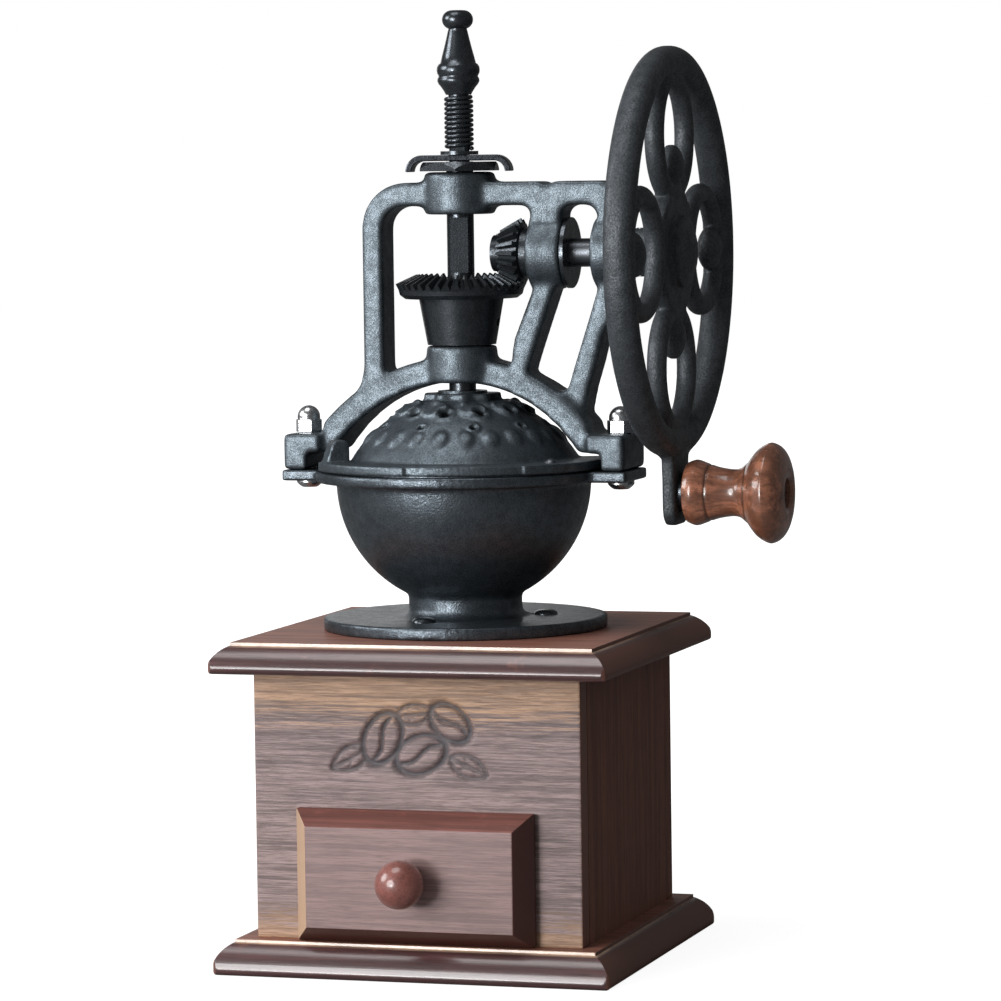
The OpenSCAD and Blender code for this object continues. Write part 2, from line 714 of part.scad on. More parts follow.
// The bridge: one casting that carries both shafts, drawn as a flat outline from the front
module bridge_outline() {
  plate = [
    [-foot_in, arch_foot_z], [-foot_in, foot_top], [-36.6, rim_z + 23.6], [-33.6, rim_z + 28.4],
    [leg_x, rim_z + 34], [leg_x, bar_top], [bridge_end, bar_top], [bridge_end, rim_z + 55.4],
    [50.6, rim_z + 45.3], [48.2, rim_z + 35.8], [45.6, rim_z + 27.4], [43.2, rim_z + 16.4],
    [43.8, rim_z + 13.4], [foot_in + 0.5, foot_top], [foot_in + 0.5, arch_foot_z]
  ];
  leg_in = leg_x + leg_w;
  difference() {
    intersection() {
      polygon(plate);
      union() {
        rounded_outline([[leg_x, rim_z], [bridge_end, rim_z], [bridge_end, bar_top], [leg_x, bar_top]],
          [0, 0, 7, 15]);
        translate([-60, rim_z]) square([120, 34]);
      }
    }
    rounded_outline([[leg_in, arch_z + 40], [16.4, arch_z + 40], [19.8, rim_z + 43], [leg_in, rim_z + 43]],
      [0, 0, 0, 0]);
    rounded_outline([[leg_in, rim_z + 42.9], [19.8, rim_z + 42.9], [27, axis_z - 10.5], [stem_x0, bar_bottom],
      [leg_in, bar_bottom]], [0, 0, 2, 3, 7.5]);
    rounded_outline([[22.5, rim_z + 26], [37.8, rim_z + 25.9], [leg2_in, rim_z + 60], [leg2_in, rim_z + 64],
      [35.4, rim_z + 64], [26.4, rim_z + 38.3]], [0, 2, 0, 0, 1, 0]);
    rounded_outline([[stem_x1, rim_z + 62], [leg2_in, rim_z + 62], [leg2_in, bar_bottom], [stem_x1, bar_bottom]],
      [0, 0, 4, 4]);
    translate([0, arch_z]) circle(r = arch_r);
    translate([31.6, bar_top + 2.4]) circle(r = 3.4);
  }
  arch_band();
}

module arch_band() {
  intersection() {
    difference() {
      translate([0, arch_z]) circle(r = arch_outer);
      translate([0, arch_z]) circle(r = arch_r);
    }
    translate([-foot_in, arch_foot_z]) square([2 * foot_in, 60]);
  }
}

// Below the leg, the arch deepens towards its feet
module arch_flare() {
  flare_top = rim_z + 32;
  half = arch_foot_d / 2;
  intersection() {
    rotate([90, 0, 0]) linear_extrude(arch_foot_d, center = true) arch_band();
    rotate([90, 0, 90]) linear_extrude(2 * foot_in, center = true)
      polygon([[-half, arch_foot_z], [half, arch_foot_z], [half, foot_top], [bar_d / 2, flare_top],
        [-bar_d / 2, flare_top], [-half, foot_top]]);
  }
}

module bridge_foot(side) {
  translate([side * (foot_in + foot_out) / 2, 0, 0]) difference() {
    translate([-(foot_out - foot_in) / 2, -foot_w / 2, rim_z]) cube([foot_out - foot_in, foot_w, foot_h]);
    translate([-side * (foot_out - foot_in) / 2 - foot_notch, -foot_w / 2 - 1, rim_z - 1])
      cube([2 * foot_notch, foot_w + 2, arch_foot_z - rim_z + 0.8]);
  }
}

module bridge() {
  color("#33383c") difference() {
    union() {
      rotate([90, 0, 0]) linear_extrude(bar_d, center = true) bridge_outline();
      arch_flare();
      for (s = [-1, 1]) bridge_foot(s);
      translate([0, 0, upper_hub_top - upper_hub_l]) cylinder(r = upper_hub_r, h = upper_hub_l);
      translate([0, 0, lower_hub_z0]) cylinder(r = lower_hub_r, h = lower_hub_z1 - lower_hub_z0);
      translate([boss_x0, 0, axis_z]) rotate([0, 90, 0]) cylinder(r = boss_r, h = boss_x1 - boss_x0);
      translate([eye_x, 0, axis_z]) rotate([0, 90, 0]) cylinder(r = eye_r, h = bridge_end - eye_x);
    }
    translate([0, 0, rim_z + 20]) cylinder(r = shaft_r + running_gap, h = 100);
    translate([boss_x0 - 3, 0, axis_z]) rotate([0, 90, 0]) cylinder(r = drive_r + running_gap, h = 60);
    for (s = [-1, 1]) translate([s * bolt_x, 0, rim_z - 1]) cylinder(r = bolt_r + 0.1, h = foot_h + 2);
  }
}

bolt_head_t = 2.8;
module bridge_bolts() {
  color("#c9cbc9") for (s = [-1, 1]) translate([s * bolt_x, 0, rim_z - rim_t]) {
    cylinder(r = bolt_r, h = rim_t + foot_h + 6.5);
    translate([0, 0, -bolt_head_t]) intersection() {
      cylinder(r = 4.4, h = bolt_head_t);
      translate([0, 0, 5.4 - 0.6]) sphere(r = 5.4);
    }
  }
}

nut8_af = 8;
module acorn_nuts() {
  color("#e4e6e4") for (s = [-1, 1]) translate([s * bolt_x, 0, foot_top]) difference() {
    union() {
      cylinder(d = nut8_af / cos(30), h = 4.2, $fn = 6);
      translate([0, 0, 4.2 + 0.9]) sphere(r = 3.8);
      cylinder(r = 3.8, h = 5.1);
    }
    translate([0, 0, -1]) cylinder(r = bolt_r + fit_gap, h = 1 + 7);
  }
}

// The vertical shaft carries the cone burr below and the crown gear above
module vertical_shaft() {
  color("#3a3d40") difference() {
    union() {
      translate([0, 0, cone_burr_z]) cylinder(r = shaft_r, h = stud_z - cone_burr_z);
      translate([0, 0, cone_burr_z]) cylinder(r = stud_r, h = shaft_top - cone_burr_z);
    }
    translate([0, 0, cone_burr_z - 1]) cylinder(r = burr_screw_r + fit_gap, h = 12);
    rotate([0, 0, key_angle]) for (s = [-1, 1]) translate([-shaft_r, s * (flat_half + 5) - 5, crown_top])
      cube([2 * shaft_r, 10, upper_hub_top - upper_hub_l - crown_top - 1]);
    rotate([0, 0, key_angle]) for (s = [-1, 1]) translate([-shaft_r, s * (stud_flat + 5) - 5, stud_z])
      cube([2 * shaft_r, 10, shaft_top - stud_z - 12]);
    translate([-10, 0, crown_pin_z]) rotate([0, 90, 0]) cylinder(r = pin_r + fit_gap, h = 20);
  }
}

// A bevel gear with its cone point at the origin and its axis up; teeth taper towards the cone point
function gear_low(cone) = cone_l * [sin(cone), cos(cone)] - (dedendum + 0.8) * [cos(cone), -sin(cone)];
module bevel_teeth(teeth, cone) {
  ded_a = atan(dedendum / cone_l);
  inner = 1 - tooth_face / cone_l;
  pitch = 360 / teeth;
  pitch_arc = PI * gear_module;
  root_half = pitch_arc * space_share / 2 - dedendum * tan(flank_angle);
  tilt = atan(root_half / cone_l / tan(flank_angle));
  vee = tan(flank_angle) / cos(tilt);
  groove_cone = cone - ded_a - tilt;
  groove_start = 0.5 * inner * cone_l;
  groove_end = 1.3 * cone_l;
  tip = cone_l * [sin(cone), cos(cone)] + addendum * [cos(cone), -sin(cone)];
  root_tan = tan(cone - ded_a);
  z0 = 0.3 * groove_start;
  z1 = groove_end;
  low = gear_low(cone);
  difference() {
    rotate_extrude() polygon([tip, tip * inner, low * inner, [0, low[1] * inner], [0, low[1]], low]);
    difference() {
      for (i = [0:teeth - 1]) rotate([0, 0, (i + 0.5) * pitch]) rotate([0, groove_cone, 0])
        translate([0, 0, groove_start]) linear_extrude(groove_end - groove_start)
          polygon([[0, 0], [6, 6 * vee], [6, -6 * vee]]);
      translate([0, 0, z0]) cylinder(r1 = root_tan * z0, r2 = root_tan * z1, h = z1 - z0);
    }
  }
}

crown_top = axis_z - (cone_l - tooth_face) * cos(crown_cone) + 1;
crown_pin_z = crown_back_z - 8;
module crown_gear() {
  low = gear_low(crown_cone);
  back_edge = 1.3;
  color("#25282a") difference() {
    union() {
      translate([0, 0, axis_z]) mirror([0, 0, 1]) rotate([0, 0, crown_phase]) bevel_teeth(crown_teeth, crown_cone);
      translate([0, 0, crown_back_z]) cylinder(r1 = low[0] - 1.8, r2 = low[0] - 0.1, h = back_edge);
      translate([0, 0, crown_back_z + back_edge])
        cylinder(r1 = low[0] - 0.1, r2 = low[0] + 0.3, h = axis_z - low[1] + 0.5 - crown_back_z - back_edge);
      translate([0, 0, lower_hub_z1 + seat_gap])
        cylinder(r1 = crown_hub_r0, r2 = crown_hub_r1, h = crown_back_z - lower_hub_z1 - seat_gap);
    }
    translate([0, 0, lower_hub_z1]) cylinder(r = shaft_r + fit_gap, h = 60);
    translate([-20, 0, crown_pin_z]) rotate([0, 90, 0]) cylinder(r = pin_r + fit_gap, h = 40);
  }
}

module crown_pin() {
  half = crown_hub_r0;
  color("#6f726f") translate([-half, 0, crown_pin_z]) rotate([0, 90, 0]) cylinder(r = pin_r, h = 2 * half);
}

module pinion() {
  inner = 1 - tooth_face / cone_l;
  low = gear_low(pinion_cone);
  small_r = 6;
  color("#25282a") difference() {
    translate([0, 0, axis_z]) rotate([0, 90, 0]) {
      bevel_teeth(pinion_teeth, pinion_cone);
      translate([0, 0, drive_x0 + 0.4]) cylinder(r = small_r, h = low[1] * inner - drive_x0);
      translate([0, 0, low[1] - 1]) cylinder(r = low[0] - 0.4, h = boss_x0 - seat_gap - low[1] + 1);
    }
    translate([0, 0, axis_z]) rotate([0, 90, 0]) cylinder(r = drive_r + fit_gap, h = 60);
    translate([pinion_pin_x, 0, axis_z - 10]) cylinder(r = 0.8 + fit_gap, h = 20);
  }
}

pinion_pin_x = drive_x0 + 1.9;
module pinion_pin() {
  color("#6f726f") translate([pinion_pin_x, 0, axis_z - 6.4]) cylinder(r = 0.8, h = 12.8);
}

module drive_shaft() {
  color("#4c5053") difference() {
    translate([drive_x0, 0, axis_z]) rotate([0, 90, 0]) cylinder(r = drive_r, h = drive_x1 - drive_x0);
    translate([pinion_pin_x, 0, axis_z - 10]) cylinder(r = 0.8 + fit_gap, h = 20);
    translate([wheel_pin_x, 0, axis_z - 15]) cylinder(r = pin_r + fit_gap, h = 30);
  }
}

module thrust_washer() {
  color("#2c2a28") translate([boss_x1 + seat_gap, 0, axis_z]) rotate([0, 90, 0]) tube(eye_r, drive_r + fit_gap, 1.2);
}

module wheel_washer() {
  color("#5a5d60") translate([bridge_end + 0.25, 0, axis_z]) rotate([0, 90, 0])
    tube(rear_hub_r, drive_r + fit_gap, rear_hub_x - bridge_end - 0.3);
}

// Adjusting nut, lock plate, spring and top knob
// The nut's top is chamfered, so that its corners turn under the lock plate's curled ends
nut_edge = 0.4;
module adjusting_nut() {
  color("#55585a") rotate([0, 0, key_angle]) translate([0, 0, nut_z]) difference() {
    intersection() {
      rotate([0, 0, 30]) cylinder(d = nut_af / cos(30), h = nut_t, $fn = 6);
      cylinder(r1 = nut_af / 2 - nut_edge + nut_t, r2 = nut_af / 2 - nut_edge, h = nut_t);
    }
    translate([0, 0, -1]) cylinder(r = shaft_r + fit_gap, h = nut_t + 2);
  }
}

// Section along the lock plate: flat in the middle, with round ends curled down
module plate_section() {
  curl = 5.5;
  flat = plate_reach - curl;
  translate([-flat, 0]) square([2 * flat, plate_t]);
  for (s = [-1, 1]) intersection() {
    translate([s * flat, plate_t - curl]) difference() {
      circle(r = curl);
      circle(r = curl - plate_t);
    }
    translate([s > 0 ? flat - eps : -flat - curl, plate_t - curl]) square([curl + eps, curl]);
  }
}

module lock_plate() {
  color("#6d5f5c") rotate([0, 0, key_angle]) translate([0, 0, plate_z]) difference() {
    rotate([90, 0, 0]) linear_extrude(plate_w, center = true) plate_section();
    translate([0, 0, -1]) intersection() {
      cylinder(r = stud_r + 0.1, h = plate_t + 2);
      translate([-2 * stud_r, -stud_flat - 0.1, 0]) cube([4 * stud_r, 2 * stud_flat + 0.2, plate_t + 2]);
    }
  }
}

module spring_washer() {
  color("#3f4346") translate([0, 0, washer_z]) tube(6.3, stud_r + 0.1, washer_t);
}

// The spring's wire, swept as rings along a helix
function coil_point(t, mid, wire) =
  [mid * cos(360 * t), mid * sin(360 * t), wire + (spring_l - 2 * wire) * t / spring_turns];
module spring() {
  wire = spring_wire / 2;
  mid = spring_d / 2 - wire;
  sides = 6;
  steps = spring_turns * 16;
  rings = [for (i = [0:steps]) let (t = i / 16, c = coil_point(t, mid, wire)) [for (k = [0:sides - 1])
    let (a = 360 * k / sides, r = wire * cos(a)) [c[0] + r * cos(360 * t), c[1] + r * sin(360 * t), c[2] + wire * sin(a)]]];
  points = [for (ring = rings, p = ring) p];
  walls = [for (i = [0:steps - 1], k = [0:sides - 1]) let (a = i * sides + k, b = i * sides + (k + 1) % sides)
    [a, b, b + sides, a + sides]];
  first = [[for (k = [0:sides - 1]) sides - 1 - k]];
  last = [[for (k = [0:sides - 1]) steps * sides + k]];
  color("#2a2c2e") translate([0, 0, spring_z]) polyhedron(points, concat(walls, first, last));
}

module top_knob() {
  button_h = 6.2;
  button_r = 5.15;
  cone_h = top_knob_h - button_h - 1;
  collar = [[0, 0], [6.3, 0], [7.3, 2.2], [7.3, 6.6], [6.6, 7], [7.2, 7.6], [7.2, 8.3], [6.45, 8.9], [3.1, cone_h],
    [3.1, cone_h + 2], [0, cone_h + 2]];
  color("#24272a") translate([0, 0, knob_z]) difference() {
    union() {
      rotate_extrude() polygon(collar);
      translate([0, 0, top_knob_h - button_h]) {
        cylinder(r = button_r - button_h / 2, h = button_h);
        translate([0, 0, button_h / 2]) rotate_extrude() intersection() {
          translate([button_r - button_h / 2, 0]) circle(r = button_h / 2);
          translate([0, -button_h]) square(2 * button_h);
        }
      }
    }
    translate([0, 0, -1]) cylinder(r = stud_r + fit_gap, h = shaft_top - knob_z + 1.2);
  }
}

// The wheel: round rim, four rings with a ball in each, a domed hub and the crank arm
wheel_pin_x = rear_hub_x + 3.5;
module rim_section() {
  flat = rim_half_x - rim_tube_r;
  for (s = [-1, 1]) translate([0, s * flat]) circle(r = rim_tube_r);
  translate([-rim_tube_r, -flat]) square([2 * rim_tube_r, 2 * flat]);
}

// A ball that is flattened along the axle, with a narrow band round its edge
module flat_ball() {
  bulge = ball_half_x - ball_edge;
  cap_r = (pow(ball_r, 2) + pow(bulge, 2)) / (2 * bulge);
  intersection() {
    translate([0, 0, -ball_half_x - 1]) cylinder(r = ball_r, h = 2 * ball_half_x + 2);
    translate([0, 0, ball_half_x - cap_r]) sphere(r = cap_r);
    translate([0, 0, cap_r - ball_half_x]) sphere(r = cap_r);
  }
}

module flywheel() {
  cap_r = (pow(hub_dome_r, 2) + pow(hub_dome_h, 2)) / (2 * hub_dome_h);
  color("#2e3235") difference() {
    translate([wheel_x, 0, axis_z]) rotate([0, 90, 0]) {
      rotate_extrude() translate([wheel_r - rim_tube_r, 0]) rim_section();
      for (i = [0:3]) rotate([0, 0, 90 * i]) {
        translate([ring_centre_r, 0, 0]) rotate_extrude()
          translate([ring_r - ring_tube_r, 0]) circle(r = ring_tube_r);
        translate([ring_centre_r + ball_sides[i] * ball_offset, 0, ball_out]) flat_ball();
      }
      translate([0, 0, -hub_disc_t / 2]) cylinder(r = hub_disc_r, h = hub_disc_t);
      intersection() {
        cylinder(r = hub_dome_r, h = hub_dome_out + hub_dome_h + 1);
        translate([0, 0, hub_dome_out + hub_dome_h - cap_r]) sphere(r = cap_r);
      }
      translate([0, 0, rear_hub_x - wheel_x]) cylinder(r = rear_hub_r, h = wheel_x - rear_hub_x);
      translate([0, 0, arm_x - wheel_x]) linear_extrude(arm_t) crank_arm_outline();
    }
    translate([0, 0, axis_z]) rotate([0, 90, 0]) cylinder(r = drive_r + fit_gap, h = drive_x1 + 0.5);
    translate([wheel_pin_x, 0, axis_z - 15]) cylinder(r = pin_r + fit_gap, h = 30);
    translate([arm_x - 1, 0, crank_z]) rotate([0, 90, 0]) cylinder(r = spindle_r * 0.75 + fit_gap, h = arm_t + 2);
  }
}

// The arm runs from the rim down to the crank knob; seen along the wheel's axis, with x towards the knob
module crank_arm_outline() {
  start = wheel_r - rim_tube_r;
  bend = wheel_r + 1;
  end = crank_r + 10.6;
  rounded_outline([[start, -13], [bend, -arm_half - 1.2], [end, -arm_half], [end, arm_half], [bend, arm_half + 1.2],
    [start, 13]], [0, 0, 5, 5, 0, 0]);
}

module wheel_pin() {
  color("#6f726f") translate([wheel_pin_x, 0, axis_z - rear_hub_r]) cylinder(r = pin_r, h = 2 * rear_hub_r);
}

// The crank knob turns on a shouldered screw fixed in the arm
knob_recess = 5;
module handle_screw() {
  color("#b9bbb9") translate([0, 0, crank_z]) rotate([0, 90, 0]) {
    translate([0, 0, arm_x]) cylinder(r = spindle_r * 0.75, h = arm_t);
    translate([0, 0, arm_x + arm_t]) cylinder(r = spindle_r, h = crank_knob_l + 1.8 - knob_recess + seat_gap);
    translate([0, 0, knob_x + crank_knob_l - knob_recess + seat_gap]) cylinder(r = 4.2, h = 2.6);
  }
}

module handle_washer() {
  color("#9a9c9a") translate([arm_x + arm_t, 0, crank_z]) rotate([0, 90, 0]) tube(6.5, spindle_r + fit_gap, 1.5);
}

// Turned outline of the crank knob: a smooth curve through a few radii, as shares of length and radius
knob_stations = [[0, 0.5], [0.02, 0.6], [0.12, 0.655], [0.21, 0.59], [0.34, 0.505], [0.5, 0.47], [0.6, 0.6],
  [0.71, 0.88], [0.81, 1], [0.92, 0.92], [0.985, 0.68], [1, 0.45]];
function ease(t) = t * t * (3 - 2 * t);
function slope(s, i) = i == 0 || i == len(s) - 1 ? 0 : (s[i + 1][1] - s[i - 1][1]) / (s[i + 1][0] - s[i - 1][0]);
function hermite(s, i, t) = let (h = s[i + 1][0] - s[i][0], t2 = t * t, t3 = t2 * t)
  (2 * t3 - 3 * t2 + 1) * s[i][1] + (t3 - 2 * t2 + t) * h * slope(s, i)
  + (3 * t2 - 2 * t3) * s[i + 1][1] + (t3 - t2) * h * slope(s, i + 1);
function turned(s, l, r, steps) = [for (i = [0:len(s) - 2], k = [0:steps - 1]) let (t = k / steps)
  [r * hermite(s, i, t), l * (s[i][0] + t * (s[i + 1][0] - s[i][0]))]];

module handle_knob() {
  curve = turned(knob_stations, crank_knob_l, crank_knob_r, 4);
  outline = concat([[0, 0]], curve, [[crank_knob_r * 0.45, crank_knob_l], [0, crank_knob_l]]);
  color("#7a3f22") translate([knob_x, 0, crank_z]) rotate([0, 90, 0]) difference() {
    rotate_extrude() polygon(outline);
    translate([0, 0, -1]) cylinder(r = spindle_r + fit_gap, h = crank_knob_l + 2);
    translate([0, 0, crank_knob_l - knob_recess]) cylinder(r = 5, h = knob_recess + 1);
  }
}

base_board();
top_board();
box_front();
box_back();
box_left();
box_right();
drawer_guides();
base_screws();
top_dowels();
drawer_front();
drawer_side_left();
drawer_side_right();
drawer_back();
drawer_bottom();
drawer_knob();
knob_screw();
bowl();
bowl_screws();
ring_burr();
cone_burr();
burr_washer();
burr_screw();
dome_lid();
lid_screws();
lid_cover();
lid_rivet();
bridge();
bridge_bolts();
acorn_nuts();
vertical_shaft();
crown_gear();
crown_pin();
adjusting_nut();
lock_plate();
spring_washer();
spring();
top_knob();
drive_shaft();
pinion();
pinion_pin();
thrust_washer();
flywheel();
wheel_pin();
wheel_washer();
handle_screw();
handle_washer();
handle_knob();
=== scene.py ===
"""Looks of a hand-cranked coffee grinder: finishes, soft castings, turned wood and the studio round them."""

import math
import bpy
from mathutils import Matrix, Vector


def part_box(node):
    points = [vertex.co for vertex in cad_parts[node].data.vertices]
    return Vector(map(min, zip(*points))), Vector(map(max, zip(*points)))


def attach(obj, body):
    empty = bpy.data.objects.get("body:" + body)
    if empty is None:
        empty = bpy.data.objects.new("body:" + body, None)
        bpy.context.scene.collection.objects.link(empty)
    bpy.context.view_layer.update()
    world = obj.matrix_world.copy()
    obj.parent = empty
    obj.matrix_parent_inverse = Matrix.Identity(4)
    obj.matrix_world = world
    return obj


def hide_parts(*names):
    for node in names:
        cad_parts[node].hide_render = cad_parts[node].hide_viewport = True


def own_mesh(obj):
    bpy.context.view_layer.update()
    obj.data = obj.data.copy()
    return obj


bl_info = {
    "name": "Coffee Grinder Looks",
    "version": (1, 0, 0),
    "blender": (4, 5, 0),
    "location": "3D View > Sidebar > Grinder",
    "description": "Dresses the packed coffee grinder with cast, turned and lacquered pieces",
    "category": "Object",
}

import bmesh
import bpy
from mathutils import Matrix, Vector

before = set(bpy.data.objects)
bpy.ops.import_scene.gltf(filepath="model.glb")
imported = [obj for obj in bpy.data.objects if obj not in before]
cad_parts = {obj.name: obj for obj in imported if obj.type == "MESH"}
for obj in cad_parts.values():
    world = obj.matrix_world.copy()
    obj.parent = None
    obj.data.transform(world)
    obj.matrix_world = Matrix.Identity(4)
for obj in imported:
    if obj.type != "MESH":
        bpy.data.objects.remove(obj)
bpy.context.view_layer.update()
MM = 0.001
Z_AXIS = Vector((0, 0, 1))


# Colours and sizes


def srgb(red, green, blue):
    """A colour written as 0 to 255 values, turned into Blender's linear colour."""
    channels = [value / 255 for value in (red, green, blue)]
    return tuple(c / 12.92 if c < 0.04045 else ((c + 0.055) / 1.055) ** 2.4 for c in channels)


def colour_property(name, text, red, green, blue):
    return bpy.props.FloatVectorProperty(
        name=name, description=text, subtype="COLOR", size=3, min=0, max=1, default=srgb(red, green, blue)
    )


class GrinderColours(bpy.types.PropertyGroup):
    """Colours of the finishes"""

    casting: colour_property("Bridge and lid", "Satin cast iron of the bridge and the lid", 86, 94, 100)
    # Painted shade: the bowl's colour is the castings' paint set darker, because the bowl faces down
    shaded_bowl_casting: colour_property("Bowl", "Darker cast iron of the bowl", 80, 87, 93)
    # Painted shade: the wheel's colour is the castings' paint set darker
    shaded_wheel_casting: colour_property("Wheel", "Coarse dark cast iron of the wheel", 62, 66, 70)
    gear: colour_property("Gears", "Black gears, spring and top knob", 62, 66, 70)
    board: colour_property("Boards", "Lacquered edges of the two boards", 74, 46, 46)
    board_top: colour_property("Board tops", "Flat tops of the two boards", 134, 86, 70)
    panel: colour_property("Front panel", "Grey-brown wood of the front panel", 134, 115, 113)
    panel_tan: colour_property("Front panel ends", "Warm strips of the front panel", 172, 138, 112)
    side: colour_property("Box sides", "Dark brown sides and back", 114, 74, 60)
    drawer_face: colour_property("Drawer face", "Flat of the drawer's face", 130, 104, 101)
    # The slopes' own colour; the drawer's material paints it lighter on left-facing slopes as painted highlight
    # and darker on right-facing and lower slopes as painted shade
    drawer_bevel: colour_property("Drawer bevel", "Worn slopes round the drawer's face", 112, 66, 58)
    inner_wood: colour_property("Inner wood", "Bare wood inside the box", 176, 140, 100)
    drawer_knob: colour_property("Drawer knob", "Glossy red-brown ball", 128, 76, 68)
    crank_knob: colour_property("Crank knob", "Glossy chestnut handle", 142, 92, 70)
    plate: colour_property("Lock plate", "Blued steel of the lock plate", 84, 88, 94)


class GrinderSizes(bpy.types.PropertyGroup):
    """Sizes that the looks use"""

    cast_voxel: bpy.props.FloatProperty(
        name="Casting mesh", description="Grid on which the castings are softened", unit="LENGTH",
        default=0.75 * MM, min=0.4 * MM, max=2 * MM,
    )
    cast_rounds: bpy.props.IntProperty(
        name="Softening", description="Smoothing rounds that soften a casting's edges",
        default=4, min=0, max=12,
    )
    bridge_rounds: bpy.props.IntProperty(
        name="Bridge softening", description="Smoothing rounds that round the bridge's bars",
        default=22, min=0, max=30,
    )
    carve_depth: bpy.props.FloatProperty(
        name="Carving depth", description="Depth of the carved beans on the front panel", unit="LENGTH",
        default=1.3 * MM, min=0.2 * MM, max=2 * MM,
    )
    rosette_height: bpy.props.FloatProperty(
        name="Rosette height", description="How far the lobes stand up from the dome", unit="LENGTH",
        default=0.9 * MM, min=0, max=1.5 * MM,
    )
    wood_edge: bpy.props.FloatProperty(
        name="Wood edges", description="Rounding on the edges of planed wood", unit="LENGTH",
        default=0.5 * MM, min=0.1 * MM, max=1.5 * MM,
    )
    spring_turns: bpy.props.IntProperty(
        name="Spring turns", description="Turns of the spring under the top knob", default=11, min=6, max=12
    )
    wire: bpy.props.FloatProperty(
        name="Spring wire", description="Thickness of the spring's wire", unit="LENGTH",
        default=1.4 * MM, min=0.8 * MM, max=1.6 * MM,
    )


# Shader building


def add(tree, kind, inputs=None, **settings):
    """Adds a node, sets its properties and fills its sockets; a socket given as an output is linked."""
    node = tree.nodes.new(kind)
    for name, value in settings.items():
        setattr(node, name, value)
    for name, value in (inputs or {}).items():
        if isinstance(value, bpy.types.NodeSocket):
            tree.links.new(value, node.inputs[name])
        else:
            node.inputs[name].default_value = value
    return node


def math_node(tree, operation, first, second=0.5):
    return add(tree, "ShaderNodeMath", {0: first, 1: second}, operation=operation).outputs[0]


def ramp_between(tree, value, low, high, to_low=0.0, to_high=1.0):
    sockets = {"Value": value, "From Min": low, "From Max": high, "To Min": to_low, "To Max": to_high}
    return add(tree, "ShaderNodeMapRange", sockets, interpolation_type="SMOOTHSTEP").outputs["Result"]


def mix_colours(tree, factor, first, second, blend="MIX"):
    node = tree.nodes.new("ShaderNodeMix")
    node.data_type = "RGBA"
    node.blend_type = blend
    for place, value in ((0, factor), (6, first), (7, second)):
        if isinstance(value, bpy.types.NodeSocket):
            tree.links.new(value, node.inputs[place])
        elif place == 0:
            node.inputs[place].default_value = value
        else:
            node.inputs[place].default_value = (*value[:3], 1)
    return node.outputs[2]


def start_group(name, inputs, outputs):
    """A node group with float and vector inputs and float outputs; returns it with its two end nodes."""
    group = bpy.data.node_groups.new(name, "ShaderNodeTree")
    for label, kind, value in inputs:
        socket = group.interface.new_socket(name=label, in_out="INPUT", socket_type=kind)
        if kind == "NodeSocketFloat":
            socket.default_value = value
    for label in outputs:
        group.interface.new_socket(name=label, in_out="OUTPUT", socket_type="NodeSocketFloat")
    return group, group.nodes.new("NodeGroupInput"), group.nodes.new("NodeGroupOutput")


def noise(tree, vector, scale, detail=3.0, roughness=0.55):
    sockets = {"Vector": vector, "Scale": scale, "Detail": detail, "Roughness": roughness}
    return add(tree, "ShaderNodeTexNoise", sockets).outputs["Fac"]


def build_cast_group():
    """Sand-cast skin under paint: fine grains, broad unevenness and a speckle for the colour."""
    inputs = [("Vector", "NodeSocketVector", None), ("Grain", "NodeSocketFloat", 1500.0)]
    group, start, end = start_group("Sand cast skin", inputs, ["Speckle", "Height"])
    vector = start.outputs["Vector"]
    grain = start.outputs["Grain"]
    fine = noise(group, vector, grain, 2.0, 0.6)
    broad = noise(group, vector, math_node(group, "MULTIPLY", grain, 0.13), 3.0, 0.5)
    lump_scale = math_node(group, "MULTIPLY", grain, 0.55)
    lumps = add(group, "ShaderNodeTexVoronoi", {"Vector": vector, "Scale": lump_scale}).outputs["Distance"]
    weak_fine = math_node(group, "MULTIPLY", fine, 0.6)
    grains = math_node(group, "ADD", weak_fine, math_node(group, "MULTIPLY", broad, 0.7))
    height = math_node(group, "SUBTRACT", grains, math_node(group, "MULTIPLY", lumps, 0.35))
    spots = math_node(group, "ADD", fine, math_node(group, "MULTIPLY", broad, 0.5))
    speckle = ramp_between(group, spots, 0.55, 0.95)
    group.links.new(speckle, end.inputs["Speckle"])
    group.links.new(height, end.inputs["Height"])
    return group


def build_wood_group():
    """Straight wood grain: broad streaks, fine dark pores and their height, along a stretched vector."""
    inputs = [("Vector", "NodeSocketVector", None), ("Scale", "NodeSocketFloat", 300.0)]
    group, start, end = start_group("Straight wood grain", inputs, ["Streaks", "Pores", "Height"])
    vector = start.outputs["Vector"]
    scale = start.outputs["Scale"]
    broad = noise(group, vector, math_node(group, "MULTIPLY", scale, 0.35), 4.0, 0.6)
    middle = noise(group, vector, scale, 4.0, 0.65)
    fine = noise(group, vector, math_node(group, "MULTIPLY", scale, 3.2), 2.0, 0.6)
    half_broad = math_node(group, "MULTIPLY", broad, 0.5)
    streaks = math_node(group, "ADD", half_broad, math_node(group, "MULTIPLY", middle, 0.5))
    pores = ramp_between(group, fine, 0.52, 0.64)
    height = math_node(group, "SUBTRACT", streaks, math_node(group, "MULTIPLY", pores, 0.5))
    group.links.new(ramp_between(group, streaks, 0.4, 0.6), end.inputs["Streaks"])
    group.links.new(pores, end.inputs["Pores"])
    group.links.new(height, end.inputs["Height"])
    return group


def build_scuff_group():
    """Sparse rubbed patches, as hands and time leave on paint and lacquer."""
    inputs = [("Vector", "NodeSocketVector", None), ("Scale", "NodeSocketFloat", 120.0)]
    group, start, end = start_group("Rubbed patches", inputs, ["Mask"])
    patches = noise(group, start.outputs["Vector"], start.outputs["Scale"], 6.0, 0.7)
    group.links.new(ramp_between(group, patches, 0.56, 0.72), end.inputs["Mask"])
    return group


